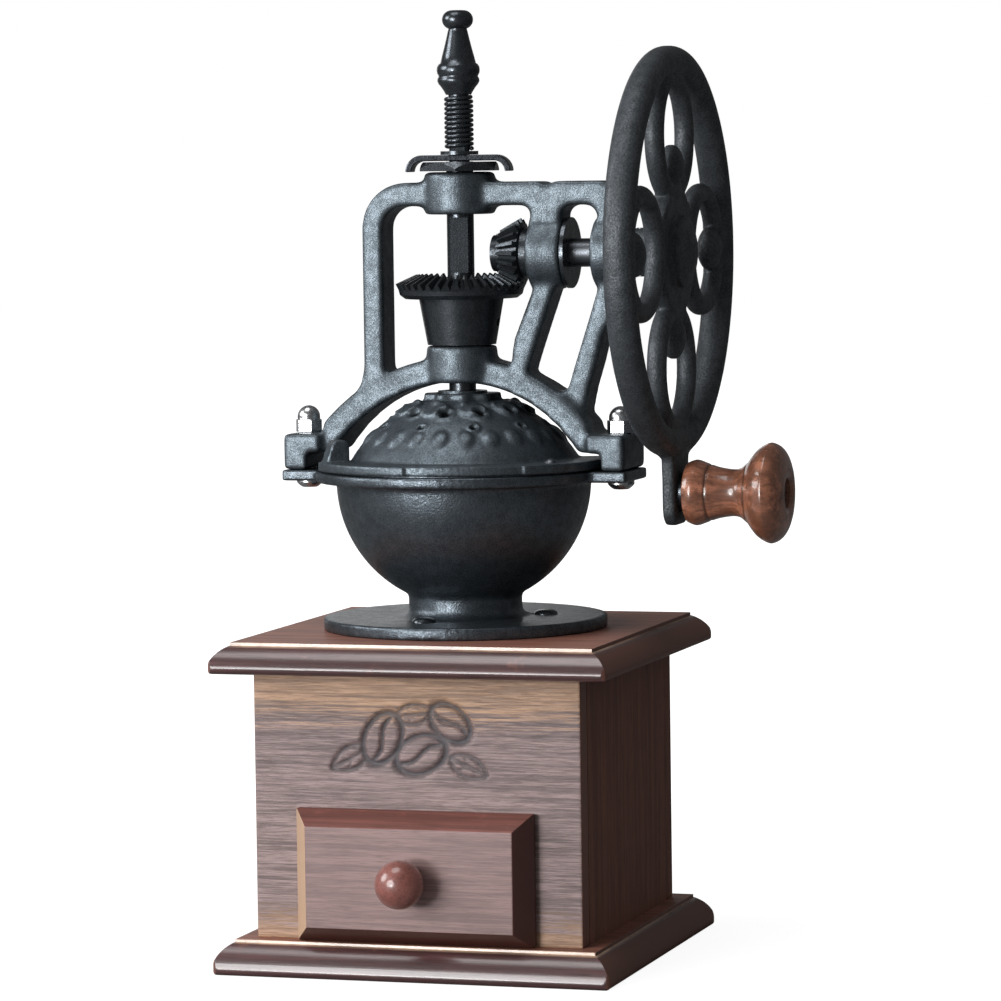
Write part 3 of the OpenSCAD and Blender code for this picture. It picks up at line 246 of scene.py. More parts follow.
def use_group(tree, group, inputs):
    node = tree.nodes.new("ShaderNodeGroup")
    node.node_tree = group
    for name, value in inputs.items():
        if isinstance(value, bpy.types.NodeSocket):
            tree.links.new(value, node.inputs[name])
        else:
            node.inputs[name].default_value = value
    return node


def shader_group(name):
    builders = {
        "Sand cast skin": build_cast_group,
        "Straight wood grain": build_wood_group,
        "Rubbed patches": build_scuff_group,
    }
    return bpy.data.node_groups.get(name) or builders[name]()


def start_material(name):
    material = bpy.data.materials.new(name)
    material.use_nodes = True
    tree = material.node_tree
    coordinates = tree.nodes.new("ShaderNodeTexCoord").outputs["Object"]
    return material, tree, tree.nodes["Principled BSDF"], coordinates


def set_bump(tree, shader, height, strength, distance):
    sockets = {"Height": height, "Strength": strength, "Distance": distance}
    tree.links.new(add(tree, "ShaderNodeBump", sockets).outputs["Normal"], shader.inputs["Normal"])


def shade(colour, factor):
    return tuple(min(1.0, channel * factor) for channel in colour)


def cast_material(name, colour, grain=2300.0, rough=(0.4, 0.5), bump=0.4, pits=False, metallic=0.85):
    """Cast iron under thin dark paint, speckled and satin; pits darkens the deep parts of an ornament."""
    material, tree, shader, coordinates = start_material(name)
    skin = use_group(tree, shader_group("Sand cast skin"), {"Vector": coordinates, "Grain": grain})
    rubbed = use_group(tree, shader_group("Rubbed patches"), {"Vector": coordinates, "Scale": 90.0})
    base = mix_colours(tree, skin.outputs["Speckle"], shade(colour, 0.7), shade(colour, 1.5))
    worn = math_node(tree, "MULTIPLY", rubbed.outputs["Mask"], 0.08)
    base = mix_colours(tree, worn, base, shade(colour, 1.8))
    roughness = ramp_between(tree, skin.outputs["Speckle"], 0.0, 1.0, rough[1], rough[0])
    if pits:
        deep = add(tree, "ShaderNodeAttribute", attribute_name="deep").outputs["Fac"]
        base = mix_colours(tree, deep, base, shade(colour, 0.08))
        roughness = math_node(tree, "MAXIMUM", roughness, deep)
    tree.links.new(base, shader.inputs["Base Color"])
    tree.links.new(roughness, shader.inputs["Roughness"])
    shader.inputs["Metallic"].default_value = metallic
    set_bump(tree, shader, skin.outputs["Height"], bump, 0.25 * MM)
    return material


def metal_material(name, colour, roughness, brushed=(1.0, 1.0, 1.0), bump=0.12):
    """Bare or plated metal with a faint turned or brushed texture along one direction."""
    material, tree, shader, coordinates = start_material(name)
    stretched = add(tree, "ShaderNodeMapping", {"Vector": coordinates, "Scale": brushed}).outputs["Vector"]
    lines = noise(tree, stretched, 900.0, 4.0, 0.6)
    stains = use_group(tree, shader_group("Rubbed patches"), {"Vector": coordinates, "Scale": 260.0})
    stained = math_node(tree, "MULTIPLY", stains.outputs["Mask"], 0.5)
    base = mix_colours(tree, stained, colour, shade(colour, 0.55))
    tree.links.new(base, shader.inputs["Base Color"])
    uneven = ramp_between(tree, lines, 0.3, 0.7, roughness, roughness + 0.14)
    tree.links.new(uneven, shader.inputs["Roughness"])
    shader.inputs["Metallic"].default_value = 1.0
    set_bump(tree, shader, lines, bump, 0.05 * MM)
    return material


def wood_colour(tree, coordinates, stretch, scale, dark, light, pore):
    """Wood grain laid along one axis; returns its colour and its group node."""
    stretched = add(tree, "ShaderNodeMapping", {"Vector": coordinates, "Scale": stretch}).outputs["Vector"]
    grain = use_group(tree, shader_group("Straight wood grain"), {"Vector": stretched, "Scale": scale})
    base = mix_colours(tree, grain.outputs["Streaks"], dark, light)
    pores = math_node(tree, "MULTIPLY", grain.outputs["Pores"], 0.55)
    return mix_colours(tree, pores, base, pore), grain


ALONG_X = (0.028, 1.0, 1.0)
ALONG_Y = (1.0, 0.035, 1.0)
ALONG_Z = (1.0, 1.0, 0.035)


def plain_wood(
    name, colour, stretch, scale=420.0, roughness=0.45, coat=0.0, spread=0.25, bump=0.2, gloss=0.5, wear=0.25
):
    """Planed or turned wood of one colour, with an optional lacquer coat."""
    material, tree, shader, coordinates = start_material(name)
    dark = shade(colour, 1 - spread)
    light = shade(colour, 1 + spread)
    base, grain = wood_colour(tree, coordinates, stretch, scale, dark, light, shade(colour, 0.45))
    rubbed = use_group(tree, shader_group("Rubbed patches"), {"Vector": coordinates, "Scale": 110.0})
    worn = math_node(tree, "MULTIPLY", rubbed.outputs["Mask"], wear)
    base = mix_colours(tree, worn, base, shade(colour, 1.5))
    tree.links.new(base, shader.inputs["Base Color"])
    shader.inputs["Roughness"].default_value = roughness
    shader.inputs["Specular IOR Level"].default_value = gloss
    shader.inputs["Coat Weight"].default_value = coat
    shader.inputs["Coat Roughness"].default_value = 0.14
    set_bump(tree, shader, grain.outputs["Height"], bump, 0.2 * MM)
    return material


def facing(tree, axis):
    """How much a surface faces along an axis of the object, from -1 to 1."""
    normal = tree.nodes.new("ShaderNodeNewGeometry").outputs["Normal"]
    return add(tree, "ShaderNodeSeparateXYZ", {"Vector": normal}).outputs[axis]


def facing_sideways(tree, low, high):
    """Mask of the faces that look left or right."""
    return ramp_between(tree, math_node(tree, "ABSOLUTE", facing(tree, "X")), low, high)


def board_material(colours):
    """Glossy boards: dark purple-brown moulded edges under lacquer and a redder flat top."""
    material, tree, shader, coordinates = start_material("Lacquered board")
    edge = tuple(colours.board)
    top = tuple(colours.board_top)
    edge_tones = [shade(edge, factor) for factor in (0.75, 1.3, 0.4)]
    top_tones = [shade(top, factor) for factor in (0.8, 1.25, 0.5)]
    edge_wood, grain = wood_colour(tree, coordinates, ALONG_X, 700.0, *edge_tones)
    top_wood, _ = wood_colour(tree, coordinates, ALONG_X, 500.0, *top_tones)
    up = ramp_between(tree, facing(tree, "Z"), 0.97, 0.995)
    base = mix_colours(tree, up, edge_wood, top_wood)
    rubbed = use_group(tree, shader_group("Rubbed patches"), {"Vector": coordinates, "Scale": 70.0})
    base = mix_colours(tree, math_node(tree, "MULTIPLY", rubbed.outputs["Mask"], 0.3), base, shade(top, 1.5))
    # The marked step under the top is painted light tan in patches
    worn = add(tree, "ShaderNodeAttribute", attribute_name="worn").outputs["Fac"]
    patches = ramp_between(tree, noise(tree, coordinates, 55.0), 0.3, 0.6, 0.35, 0.9)
    patches = math_node(tree, "MULTIPLY", patches, math_node(tree, "SUBTRACT", 1.0, up))
    base = mix_colours(tree, math_node(tree, "MULTIPLY", worn, patches), base, srgb(196, 164, 138))
    sideways = facing_sideways(tree, 0.3, 0.7)
    base = mix_colours(tree, sideways, base, shade(tuple(colours.side), 0.8))
    flat = math_node(tree, "MAXIMUM", up, sideways)
    tree.links.new(base, shader.inputs["Base Color"])
    tree.links.new(ramp_between(tree, flat, 0.0, 1.0, 0.34, 0.6), shader.inputs["Roughness"])
    tree.links.new(ramp_between(tree, flat, 0.0, 1.0, 1.0, 0.1), shader.inputs["Coat Weight"])
    shader.inputs["Coat Roughness"].default_value = 0.2
    set_bump(tree, shader, grain.outputs["Height"], 0.16, 0.2 * MM)
    return material


def panel_material(colours):
    """Front panel: grey-brown with level grain, warmer at its top and bottom, dark in the carving."""
    material, tree, shader, coordinates = start_material("Front panel wood")
    grey = tuple(colours.panel)
    tan = tuple(colours.panel_tan)
    low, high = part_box("box_front")
    grey_tones = [shade(grey, factor) for factor in (0.62, 1.36, 0.38)]
    tan_tones = [shade(tan, factor) for factor in (0.66, 1.26, 0.42)]
    plain, grain = wood_colour(tree, coordinates, ALONG_X, 2100.0, *grey_tones)
    warm, _ = wood_colour(tree, coordinates, ALONG_X, 2100.0, *tan_tones)
    level = add(tree, "ShaderNodeSeparateXYZ", {"Vector": coordinates}).outputs["Z"]
    wander = math_node(tree, "MULTIPLY", math_node(tree, "SUBTRACT", grain.outputs["Streaks"], 0.5), 9 * MM)
    level = math_node(tree, "ADD", level, wander)
    top_strip = ramp_between(tree, level, high.z - 19 * MM, high.z - 8 * MM)
    bottom_strip = ramp_between(tree, level, low.z + 10 * MM, low.z + 3 * MM)
    strips = math_node(tree, "MAXIMUM", top_strip, bottom_strip)
    base = mix_colours(tree, strips, plain, warm)
    sideways = facing_sideways(tree, 0.5, 0.8)
    base = mix_colours(tree, sideways, base, tuple(colours.side))
    carved = add(tree, "ShaderNodeAttribute", attribute_name="carved").outputs["Fac"]
    base = mix_colours(tree, math_node(tree, "MULTIPLY", carved, 0.9), base, srgb(60, 60, 66))
    tree.links.new(base, shader.inputs["Base Color"])
    shader.inputs["Roughness"].default_value = 0.52
    set_bump(tree, shader, grain.outputs["Height"], 0.35, 0.25 * MM)
    return material


def drawer_material(colours):
    """Drawer face: fine grey-mauve grain on the flat, reddish slopes round it worn in patches, painted lighter
    where they face left as painted highlight and darker where they face right or down as painted shade.
    """
    material, tree, shader, coordinates = start_material("Drawer face wood")
    flat = tuple(colours.drawer_face)
    slope = tuple(colours.drawer_bevel)
    flat_tones = [shade(flat, factor) for factor in (0.78, 1.22, 0.55)]
    slope_tones = [shade(slope, factor) for factor in (0.75, 1.25, 0.5)]
    flat_wood, grain = wood_colour(tree, coordinates, ALONG_X, 1900.0, *flat_tones)
    slope_wood, _ = wood_colour(tree, coordinates, ALONG_X, 420.0, *slope_tones)
    front = ramp_between(tree, facing(tree, "Y"), -0.97, -0.8)
    rubbed = use_group(tree, shader_group("Rubbed patches"), {"Vector": coordinates, "Scale": 160.0})
    worn = math_node(tree, "MULTIPLY", rubbed.outputs["Mask"], 0.45)
    slope_wood = mix_colours(tree, worn, slope_wood, shade(slope, 1.9))
    # Painted light: slopes facing left are painted light tan as a painted highlight, and slopes facing right or
    # down are painted darker as painted shade
    across = facing(tree, "X")
    slope_wood = mix_colours(tree, ramp_between(tree, across, -0.3, -0.6), slope_wood, srgb(178, 148, 122))
    slope_wood = mix_colours(tree, ramp_between(tree, across, 0.3, 0.6), slope_wood, shade(slope, 0.4))
    shaded_underside = ramp_between(tree, facing(tree, "Z"), -0.3, -0.6)
    slope_wood = mix_colours(tree, shaded_underside, slope_wood, shade(slope, 0.5))
    base = mix_colours(tree, front, flat_wood, slope_wood)
    tree.links.new(base, shader.inputs["Base Color"])
    shader.inputs["Roughness"].default_value = 0.46
    shader.inputs["Coat Weight"].default_value = 0.15
    shader.inputs["Coat Roughness"].default_value = 0.3
    set_bump(tree, shader, grain.outputs["Height"], 0.22, 0.2 * MM)
    return material


def crank_knob_material(colours):
    """Mottled chestnut lacquer, darker in the turned grooves."""
    material, tree, shader, coordinates = start_material("Crank knob wood")
    colour = tuple(colours.crank_knob)
    tones = [shade(colour, factor) for factor in (0.6, 1.5, 0.3)]
    base, grain = wood_colour(tree, coordinates, ALONG_X, 330.0, *tones)
    blotches = noise(tree, coordinates, 150.0, 5.0, 0.65)
    base = mix_colours(tree, ramp_between(tree, blotches, 0.42, 0.62, 0.0, 0.6), base, shade(colour, 0.5))
    groove = add(tree, "ShaderNodeAttribute", attribute_name="groove").outputs["Fac"]
    base = mix_colours(tree, groove, base, shade(colour, 0.25))
    tree.links.new(base, shader.inputs["Base Color"])
    shader.inputs["Roughness"].default_value = 0.3
    shader.inputs["Coat Weight"].default_value = 0.8
    shader.inputs["Coat Roughness"].default_value = 0.1
    set_bump(tree, shader, grain.outputs["Height"], 0.15, 0.2 * MM)
    return material


def finish(name):
    """The material of that name, made the first time that a piece asks for it."""
    colours = bpy.context.scene.grinder_colours
    found = bpy.data.materials.get(name)
    if found:
        return found
    casting = tuple(colours.casting)
    gear = tuple(colours.gear)
    makers = {
        "Bridge casting": lambda: cast_material(name, casting),
        # The bowl and the dome take the castings' paint set darker, as painted shade
        "Bowl casting": lambda: cast_material(name, tuple(colours.shaded_bowl_casting), rough=(0.3, 0.4), bump=0.5),
        # The wheel takes the castings' paint set darker, as painted shade
        "Wheel casting": lambda: cast_material(
            name, tuple(colours.shaded_wheel_casting), 1700.0, (0.46, 0.58), 0.8, metallic=0.45
        ),
        "Ornamented casting": lambda: cast_material(name, casting, pits=True),
        "Black gear": lambda: cast_material(name, gear, 1900.0, (0.28, 0.4), 0.2),
        "Turned black": lambda: cast_material(name, shade(gear, 1.3), 2200.0, (0.2, 0.32), 0.12),
        "Bright plate": lambda: metal_material(name, srgb(204, 206, 208), 0.22, bump=0.04),
        "Ground steel": lambda: metal_material(name, srgb(108, 112, 117), 0.34, (8.0, 1.0, 1.0)),
        "Blued plate": lambda: metal_material(name, tuple(colours.plate), 0.22, (1.0, 6.0, 1.0), 0.04),
        "Dull iron": lambda: cast_material(name, srgb(86, 86, 86), 1200.0, (0.5, 0.65), 0.6),
        "Lacquered board": lambda: board_material(colours),
        "Front panel wood": lambda: panel_material(colours),
        "Side panel wood": lambda: plain_wood(
            name, tuple(colours.side), ALONG_Z, 700.0, 0.6, spread=0.2, gloss=0.25
        ),
        "Drawer face wood": lambda: drawer_material(colours),
        "Bare wood": lambda: plain_wood(name, tuple(colours.inner_wood), ALONG_Y, 380.0, 0.65, spread=0.15),
        "Drawer knob wood": lambda: plain_wood(
            name, tuple(colours.drawer_knob), ALONG_Y, 500.0, 0.4, 0.9, spread=0.12, wear=0.04
        ),
        "Crank knob wood": lambda: crank_knob_material(colours),
    }
    return makers[name]()


# Mesh building


def link_mesh(name, mesh, material):
    piece = bpy.data.objects.new(name, mesh)
    bpy.context.scene.collection.objects.link(piece)
    mesh.materials.clear()
    mesh.materials.append(finish(material))
    return piece


def merged_copy(node, name, material):
    """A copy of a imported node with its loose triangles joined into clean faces."""
    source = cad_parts[node]
    shape = bmesh.new()
    shape.from_mesh(source.data)
    bmesh.ops.remove_doubles(shape, verts=shape.verts, dist=0.002 * MM)
    bmesh.ops.dissolve_degenerate(shape, edges=shape.edges, dist=0.002 * MM)
    mesh = bpy.data.meshes.new(name)
    shape.to_mesh(mesh)
    shape.free()
    stored = mesh.attributes.get("custom_normal")
    if stored:
        mesh.attributes.remove(stored)
    return link_mesh(name, mesh, material)


def apply_modifiers(piece):
    """Swaps the piece's mesh for the one that its modifiers make."""
    bpy.context.view_layer.update()
    seen = piece.evaluated_get(bpy.context.evaluated_depsgraph_get())
    made = bpy.data.meshes.new_from_object(seen)
    piece.modifiers.clear()
    old = piece.data
    piece.data = made
    bpy.data.meshes.remove(old)
    if not made.polygons:
        raise RuntimeError(f"{piece.name} came out empty")


def soft_casting(node, name, material, voxel, rounds):
    """A packed casting with the soft edges and filled corners that a sand mould leaves."""
    piece = merged_copy(node, name, material)
    skin = piece.modifiers.new("Skin", "REMESH")
    skin.mode = "VOXEL"
    skin.voxel_size = voxel
    skin.use_smooth_shade = True
    if rounds:
        soften = piece.modifiers.new("Soften", "SMOOTH")
        soften.factor = 0.5
        soften.iterations = rounds
    apply_modifiers(piece)
    return piece


def planed_copy(node, name, material, width, segments=2):
    """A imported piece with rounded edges; its flat faces are joined first, so only true edges are bevelled."""
    piece = merged_copy(node, name, material)
    shape = bmesh.new()
    shape.from_mesh(piece.data)
    bmesh.ops.dissolve_limit(
        shape, angle_limit=math.radians(1), verts=shape.verts, edges=shape.edges, delimit={"NORMAL"}
    )
    for face in shape.faces:
        face.smooth = True
    shape.to_mesh(piece.data)
    shape.free()
    edges = piece.modifiers.new("Edges", "BEVEL")
    edges.width = width
    edges.segments = segments
    edges.limit_method = "ANGLE"
    edges.angle_limit = math.radians(40)
    edges.use_clamp_overlap = True
    weights = piece.modifiers.new("Flat faces", "WEIGHTED_NORMAL")
    weights.keep_sharp = True
    return piece


def turned_piece(name, material, outline, place, steps=96):
    """Turns an outline of (radius, height) points round Z and puts it at its place."""
    shape = bmesh.new()
    points = [shape.verts.new((radius, 0, height)) for radius, height in outline]
    lines = [shape.edges.new(pair) for pair in zip(points, points[1:])]
    bmesh.ops.spin(
        shape, geom=points + lines, cent=(0, 0, 0), axis=(0, 0, 1),
        angle=2 * math.pi, steps=steps, use_merge=True,
    )
    bmesh.ops.remove_doubles(shape, verts=shape.verts, dist=0.002 * MM)
    bmesh.ops.dissolve_degenerate(shape, edges=shape.edges, dist=0.002 * MM)
    bmesh.ops.transform(shape, matrix=place, verts=shape.verts)
    bmesh.ops.recalc_face_normals(shape, faces=shape.faces)
    for face in shape.faces:
        face.smooth = True
    mesh = bpy.data.meshes.new(name)
    shape.to_mesh(mesh)
    shape.free()
    mesh.set_sharp_from_angle(angle=math.radians(48))
    return link_mesh(name, mesh, material)


def smooth_curve(stations, samples):
    """A Catmull-Rom curve through (place, value) stations, sampled evenly between them."""
    ends = [stations[0], *stations, stations[-1]]
    curve = []
    for before, start, stop, after in zip(ends, ends[1:], ends[2:], ends[3:]):
        for step in range(samples):
            t = step / samples
            parts = (
                -0.5 * t + t * t - 0.5 * t**3,
                1 - 2.5 * t * t + 1.5 * t**3,
                0.5 * t + 2 * t * t - 1.5 * t**3,
                -0.5 * t * t + 0.5 * t**3,
            )
            points = (before, start, stop, after)
            curve.append(tuple(sum(w * p[axis] for w, p in zip(parts, points)) for axis in (0, 1)))
    return [*curve, stations[-1]]


def arc(centre, radius, start, stop, steps):
    """Points on an arc of an outline, angles in degrees from the outline's radius axis."""
    angles = [math.radians(start + (stop - start) * i / steps) for i in range(steps + 1)]
    return [(centre[0] + radius * math.cos(a), centre[1] + radius * math.sin(a)) for a in angles]


def store_mask(piece, name, values):
    """Keeps one number per vertex for the piece's material to read."""
    attribute = piece.data.attributes.new(name, "FLOAT", "POINT")
    attribute.data.foreach_set("value", values)


def seat(piece, body, slot, *nodes):
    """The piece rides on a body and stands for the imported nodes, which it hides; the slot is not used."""
    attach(piece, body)
    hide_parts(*nodes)


def dress(material, *nodes):
    """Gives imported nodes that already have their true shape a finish."""
    for node in nodes:
        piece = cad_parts[node]
        if not piece.material_slots:
            piece.data.materials.append(finish(material))
        for place in piece.material_slots:
            place.material = finish(material)


# Ornament


def bean(u, v, half_length, half_width):
    """Carving of one coffee bean in its own axes: a groove round it and a curved seam; 1 is the deepest."""
    reach = math.hypot(u / half_length, v / half_width)
    outline = math.exp(-(((reach - 1) * half_width / (0.9 * MM)) ** 2))
    if reach > 1:
        return outline
    seam = v - 0.22 * half_width * math.sin(math.pi * u / half_length)
    return max(outline, math.exp(-((seam / (0.75 * MM)) ** 2)) * min(1.0, 6 * (1 - reach)))


def leaf(u, v, half_length, half_width):
    """Carving of one leaf: an almond outline, a midrib and slanting veins."""
    side = abs(u) / half_length
    if side > 1.1:
        return 0.0
    edge = half_width * max(0.0, 1 - side * side)
    outline = math.exp(-(((abs(v) - edge) / (0.7 * MM)) ** 2)) if side < 1 else 0.0
    midrib = math.exp(-((v / (0.55 * MM)) ** 2)) if side < 0.95 else 0.0
    inside = abs(v) < edge - 0.8 * MM
    vein = 0.5 * math.exp(-((math.sin((u + abs(v)) / (1.5 * MM)) / 0.35) ** 2)) if inside else 0.0
    return max(outline, midrib, vein)


# Place (mm from the carving's centre), turn in degrees and half sizes in mm of each carved shape
CARVED_BEANS = [(-9.5, 1.0, 62, 8.8, 6.0), (3.5, -4.0, 20, 8.8, 6.0), (13.5, 6.5, -38, 7.6, 5.2)]
CARVED_LEAVES = [(-20.0, -5.5, 28, 8.0, 3.6), (19.5, -7.5, -24, 7.4, 3.4), (1.5, 9.0, 8, 7.2, 3.2)]
CARVING_PLACE = (-2 * MM, 76.6 * MM)


def turned_axes(x, z, place_x, place_z, turn):
    angle = math.radians(turn)
    dx = x - place_x * MM
    dz = z - place_z * MM
    return dx * math.cos(angle) + dz * math.sin(angle), dz * math.cos(angle) - dx * math.sin(angle)


def carving(x, z):
    """Depth of the sprig carved in the front panel, from 0 to 1, measured from its centre."""
    depth = 0.0
    for place_x, place_z, turn, length, width in CARVED_LEAVES:
        depth = max(depth, 0.8 * leaf(*turned_axes(x, z, place_x, place_z, turn), length * MM, width * MM))
    for place_x, place_z, turn, length, width in CARVED_BEANS:
        u, v = turned_axes(x, z, place_x, place_z, turn)
        inside = math.hypot(u / (length * MM), v / (width * MM)) < 1
        cut = bean(u, v, length * MM, width * MM)
        depth = cut if inside else max(depth, cut)
    return depth


def pit(across, up, radius):
    """A round hollow with a raised lip; sizes in mm, -1 is the bottom."""
    reach = math.hypot(across, up) / radius
    return 0.5 * math.exp(-(((reach - 1.9) / 0.6) ** 2)) - 1.45 * math.exp(-(reach**4))


def lobe(across, up, radius):
    """A smooth raised petal, a little longer up the dome than across it."""
    return 0.9 * math.exp(-((math.hypot(across, 0.75 * up) / radius) ** 4))


# Kind of mark, number round the dome, first place round it and tilt from its top in degrees, radius in mm
DOME_MARKS = [
    (pit, 12, -118, 29, 1.6),
    (pit, 10, -137.5, 38.5, 0.9),
    (lobe, 24, -101, 45, 2.5),
    (lobe, 12, -103, 21, 1.9),
]


def dome_relief(polar, turn, radius):
    """Relief of the dome's rings of hollows and petals at a polar angle and a turn, both in radians."""
    total = 0.0
    for mark, count, first, tilt, size in DOME_MARKS:
        spacing = 2 * math.pi / count
        offset = turn - math.radians(first)
        across = (offset - round(offset / spacing) * spacing) * math.sin(polar) * radius / MM
        up = (polar - math.radians(tilt)) * radius / MM
        if math.hypot(across, up) < 5:
            total += mark(across, up, size)
    return total


# Pieces


class BuildCastings(bpy.types.Operator):
    """Soft sand-cast bowl, bridge and wheel"""

    bl_idname = "grinder.castings"
    bl_label = "Bowl, bridge and wheel"

    def execute(self, context):
        sizes = context.scene.grinder_sizes
        castings = (
            ("bowl", "housing", "Bowl casting", sizes.cast_rounds),
            ("bridge", "housing", "Bridge casting", sizes.bridge_rounds),
            ("flywheel", "wheel", "Wheel casting", sizes.cast_rounds),
        )
        for node, body, material, rounds in castings:
            piece = soft_casting(node, "cast_" + node, material, sizes.cast_voxel, rounds)
            seat(piece, body, "cast_paint", node)
        return {"FINISHED"}


class BuildLid(bpy.types.Operator):
    """Fixed dome and turning cover, with the cast flowers round the cover's top"""

    bl_idname = "grinder.lid"
    bl_label = "Lid"

    def execute(self, context):
        sizes = context.scene.grinder_sizes
        dome = merged_copy("dome_lid", "cast_dome", "Bowl casting")
        dome.data.shade_smooth()
        dome.data.set_sharp_from_angle(angle=math.radians(35))
        seat(dome, "housing", "cast_paint", "dome_lid")
        cover = soft_casting("lid_cover", "cast_cover", "Ornamented casting", 0.55 * MM, sizes.cast_rounds)
        self.raise_flowers(cover, sizes.rosette_height)
        seat(cover, "lid", "cast_paint", "lid_cover")
        dress("Ground steel", "lid_rivet")
        dress("Turned black", "lid_screws")
        return {"FINISHED"}

    def raise_flowers(self, cover, height):
        """Moves the outer skin of the cover in and out along the dome's radius."""
        outer_radius = 45.3 * MM
        centre = Vector((0, 0, 141.2 * MM))
        plain_crown = math.radians(17)
        collar_foot = 181.5 * MM
        collar_wall = (11 * MM, 13.5 * MM)
        collar_lumps = 10
        lump_height = 0.75 * MM
        deep = []
        for vertex in cover.data.vertices:
            arm = vertex.co - centre
            across = math.hypot(arm.x, arm.y)
            turn = math.atan2(arm.y, arm.x)
            polar = math.atan2(across, arm.z)
            outside = arm.length > outer_radius - 0.8 * MM and polar > plain_crown
            relief = dome_relief(polar, turn, arm.length) if outside else 0.0
            vertex.co += arm.normalized() * relief * height
            if collar_wall[0] < across < collar_wall[1] and vertex.co.z > collar_foot:
                lump = lump_height * math.cos(collar_lumps * turn)
                vertex.co += Vector((arm.x, arm.y, 0)).normalized() * lump
            deep.append(min(1.0, max(0.0, -0.9 * relief)))
        store_mask(cover, "deep", deep)


class BuildBox(bpy.types.Operator):
    """Moulded boards, box panels and the carved front"""

    bl_idname = "grinder.box"
    bl_label = "Wooden box"

    def execute(self, context):
        sizes = context.scene.grinder_sizes
        for node in ("base_board", "top_board"):
            piece = planed_copy(node, "moulded_" + node, "Lacquered board", 0.5 * sizes.wood_edge)
            self.mark_tan_step(piece)
            seat(piece, "housing", "board_wood", node)
        for node in ("box_back", "box_left", "box_right"):
            piece = planed_copy(node, "planed_" + node, "Side panel wood", sizes.wood_edge)
            seat(piece, "housing", "side_wood", node)
        front = soft_casting("box_front", "carved_front", "Front panel wood", 0.6 * MM, 1)
        self.carve(front, sizes.carve_depth)
        seat(front, "housing", "panel_wood", "box_front")
        dress("Bare wood", "drawer_guides", "top_dowels")
        dress("Ground steel", "base_screws")
        return {"FINISHED"}

    def mark_tan_step(self, board):
        """Marks the small step under the board's top, which the board's material paints light tan in patches.
        """
        moulding_width = 6.6 * MM
        step_height = 1.3 * MM
        apply_modifiers(board)
        levels = [vertex.co.z for vertex in board.data.vertices]
        top = max(levels)
        reach = max(vertex.co.x for vertex in board.data.vertices) - moulding_width
        worn = []
        for vertex in board.data.vertices:
            rim = max(abs(vertex.co.x), abs(vertex.co.y)) > reach
            worn.append(1.0 if rim and vertex.co.z > top - step_height else 0.0)
        store_mask(board, "worn", worn)

    def carve(self, front, depth):
        """Presses the sprig of coffee beans into the panel's outer face."""
        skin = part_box("box_front")[0].y + 0.7 * MM
        half_width = 30 * MM
        half_height = 17 * MM
        cut = []
        for vertex in front.data.vertices:
            x = vertex.co.x - CARVING_PLACE[0]
            z = vertex.co.z - CARVING_PLACE[1]
            near = vertex.co.y < skin and abs(x) < half_width and abs(z) < half_height
            amount = carving(x, z) if near else 0.0
            vertex.co.y += amount * depth
            cut.append(amount)
        store_mask(front, "carved", cut)


class BuildDrawer(bpy.types.Operator):
    """Drawer face, box and turned knob"""

    bl_idname = "grinder.drawer"
    bl_label = "Drawer"

    def execute(self, context):
        face = planed_copy("drawer_front", "bevelled_face", "Drawer face wood", 0.45 * MM, 3)
        seat(face, "drawer", "drawer_wood", "drawer_front")
        dress("Bare wood", "drawer_side_left", "drawer_side_right", "drawer_back", "drawer_bottom")
        dress("Ground steel", "knob_screw")
        low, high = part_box("drawer_knob")
        radius = (high.x - low.x) / 2
        length = high.y - low.y
        neck = 0.6 * radius
        foot = neck + 0.5 * MM
        ball = arc((0, length - radius), radius, -52, 90, 40)
        outline = [(0, 0), (foot, 0), (foot, 0.9 * MM), (neck, 1.3 * MM), *ball]
        outline[-1] = (0, length)
        place = Matrix.Translation((0, high.y, (low.z + high.z) / 2)) @ Matrix.Rotation(math.pi / 2, 4, "X")
        knob = turned_piece("turned_drawer_knob", "Drawer knob wood", outline, place)
        seat(knob, "drawer", "knob_wood", "drawer_knob")
        return {"FINISHED"}


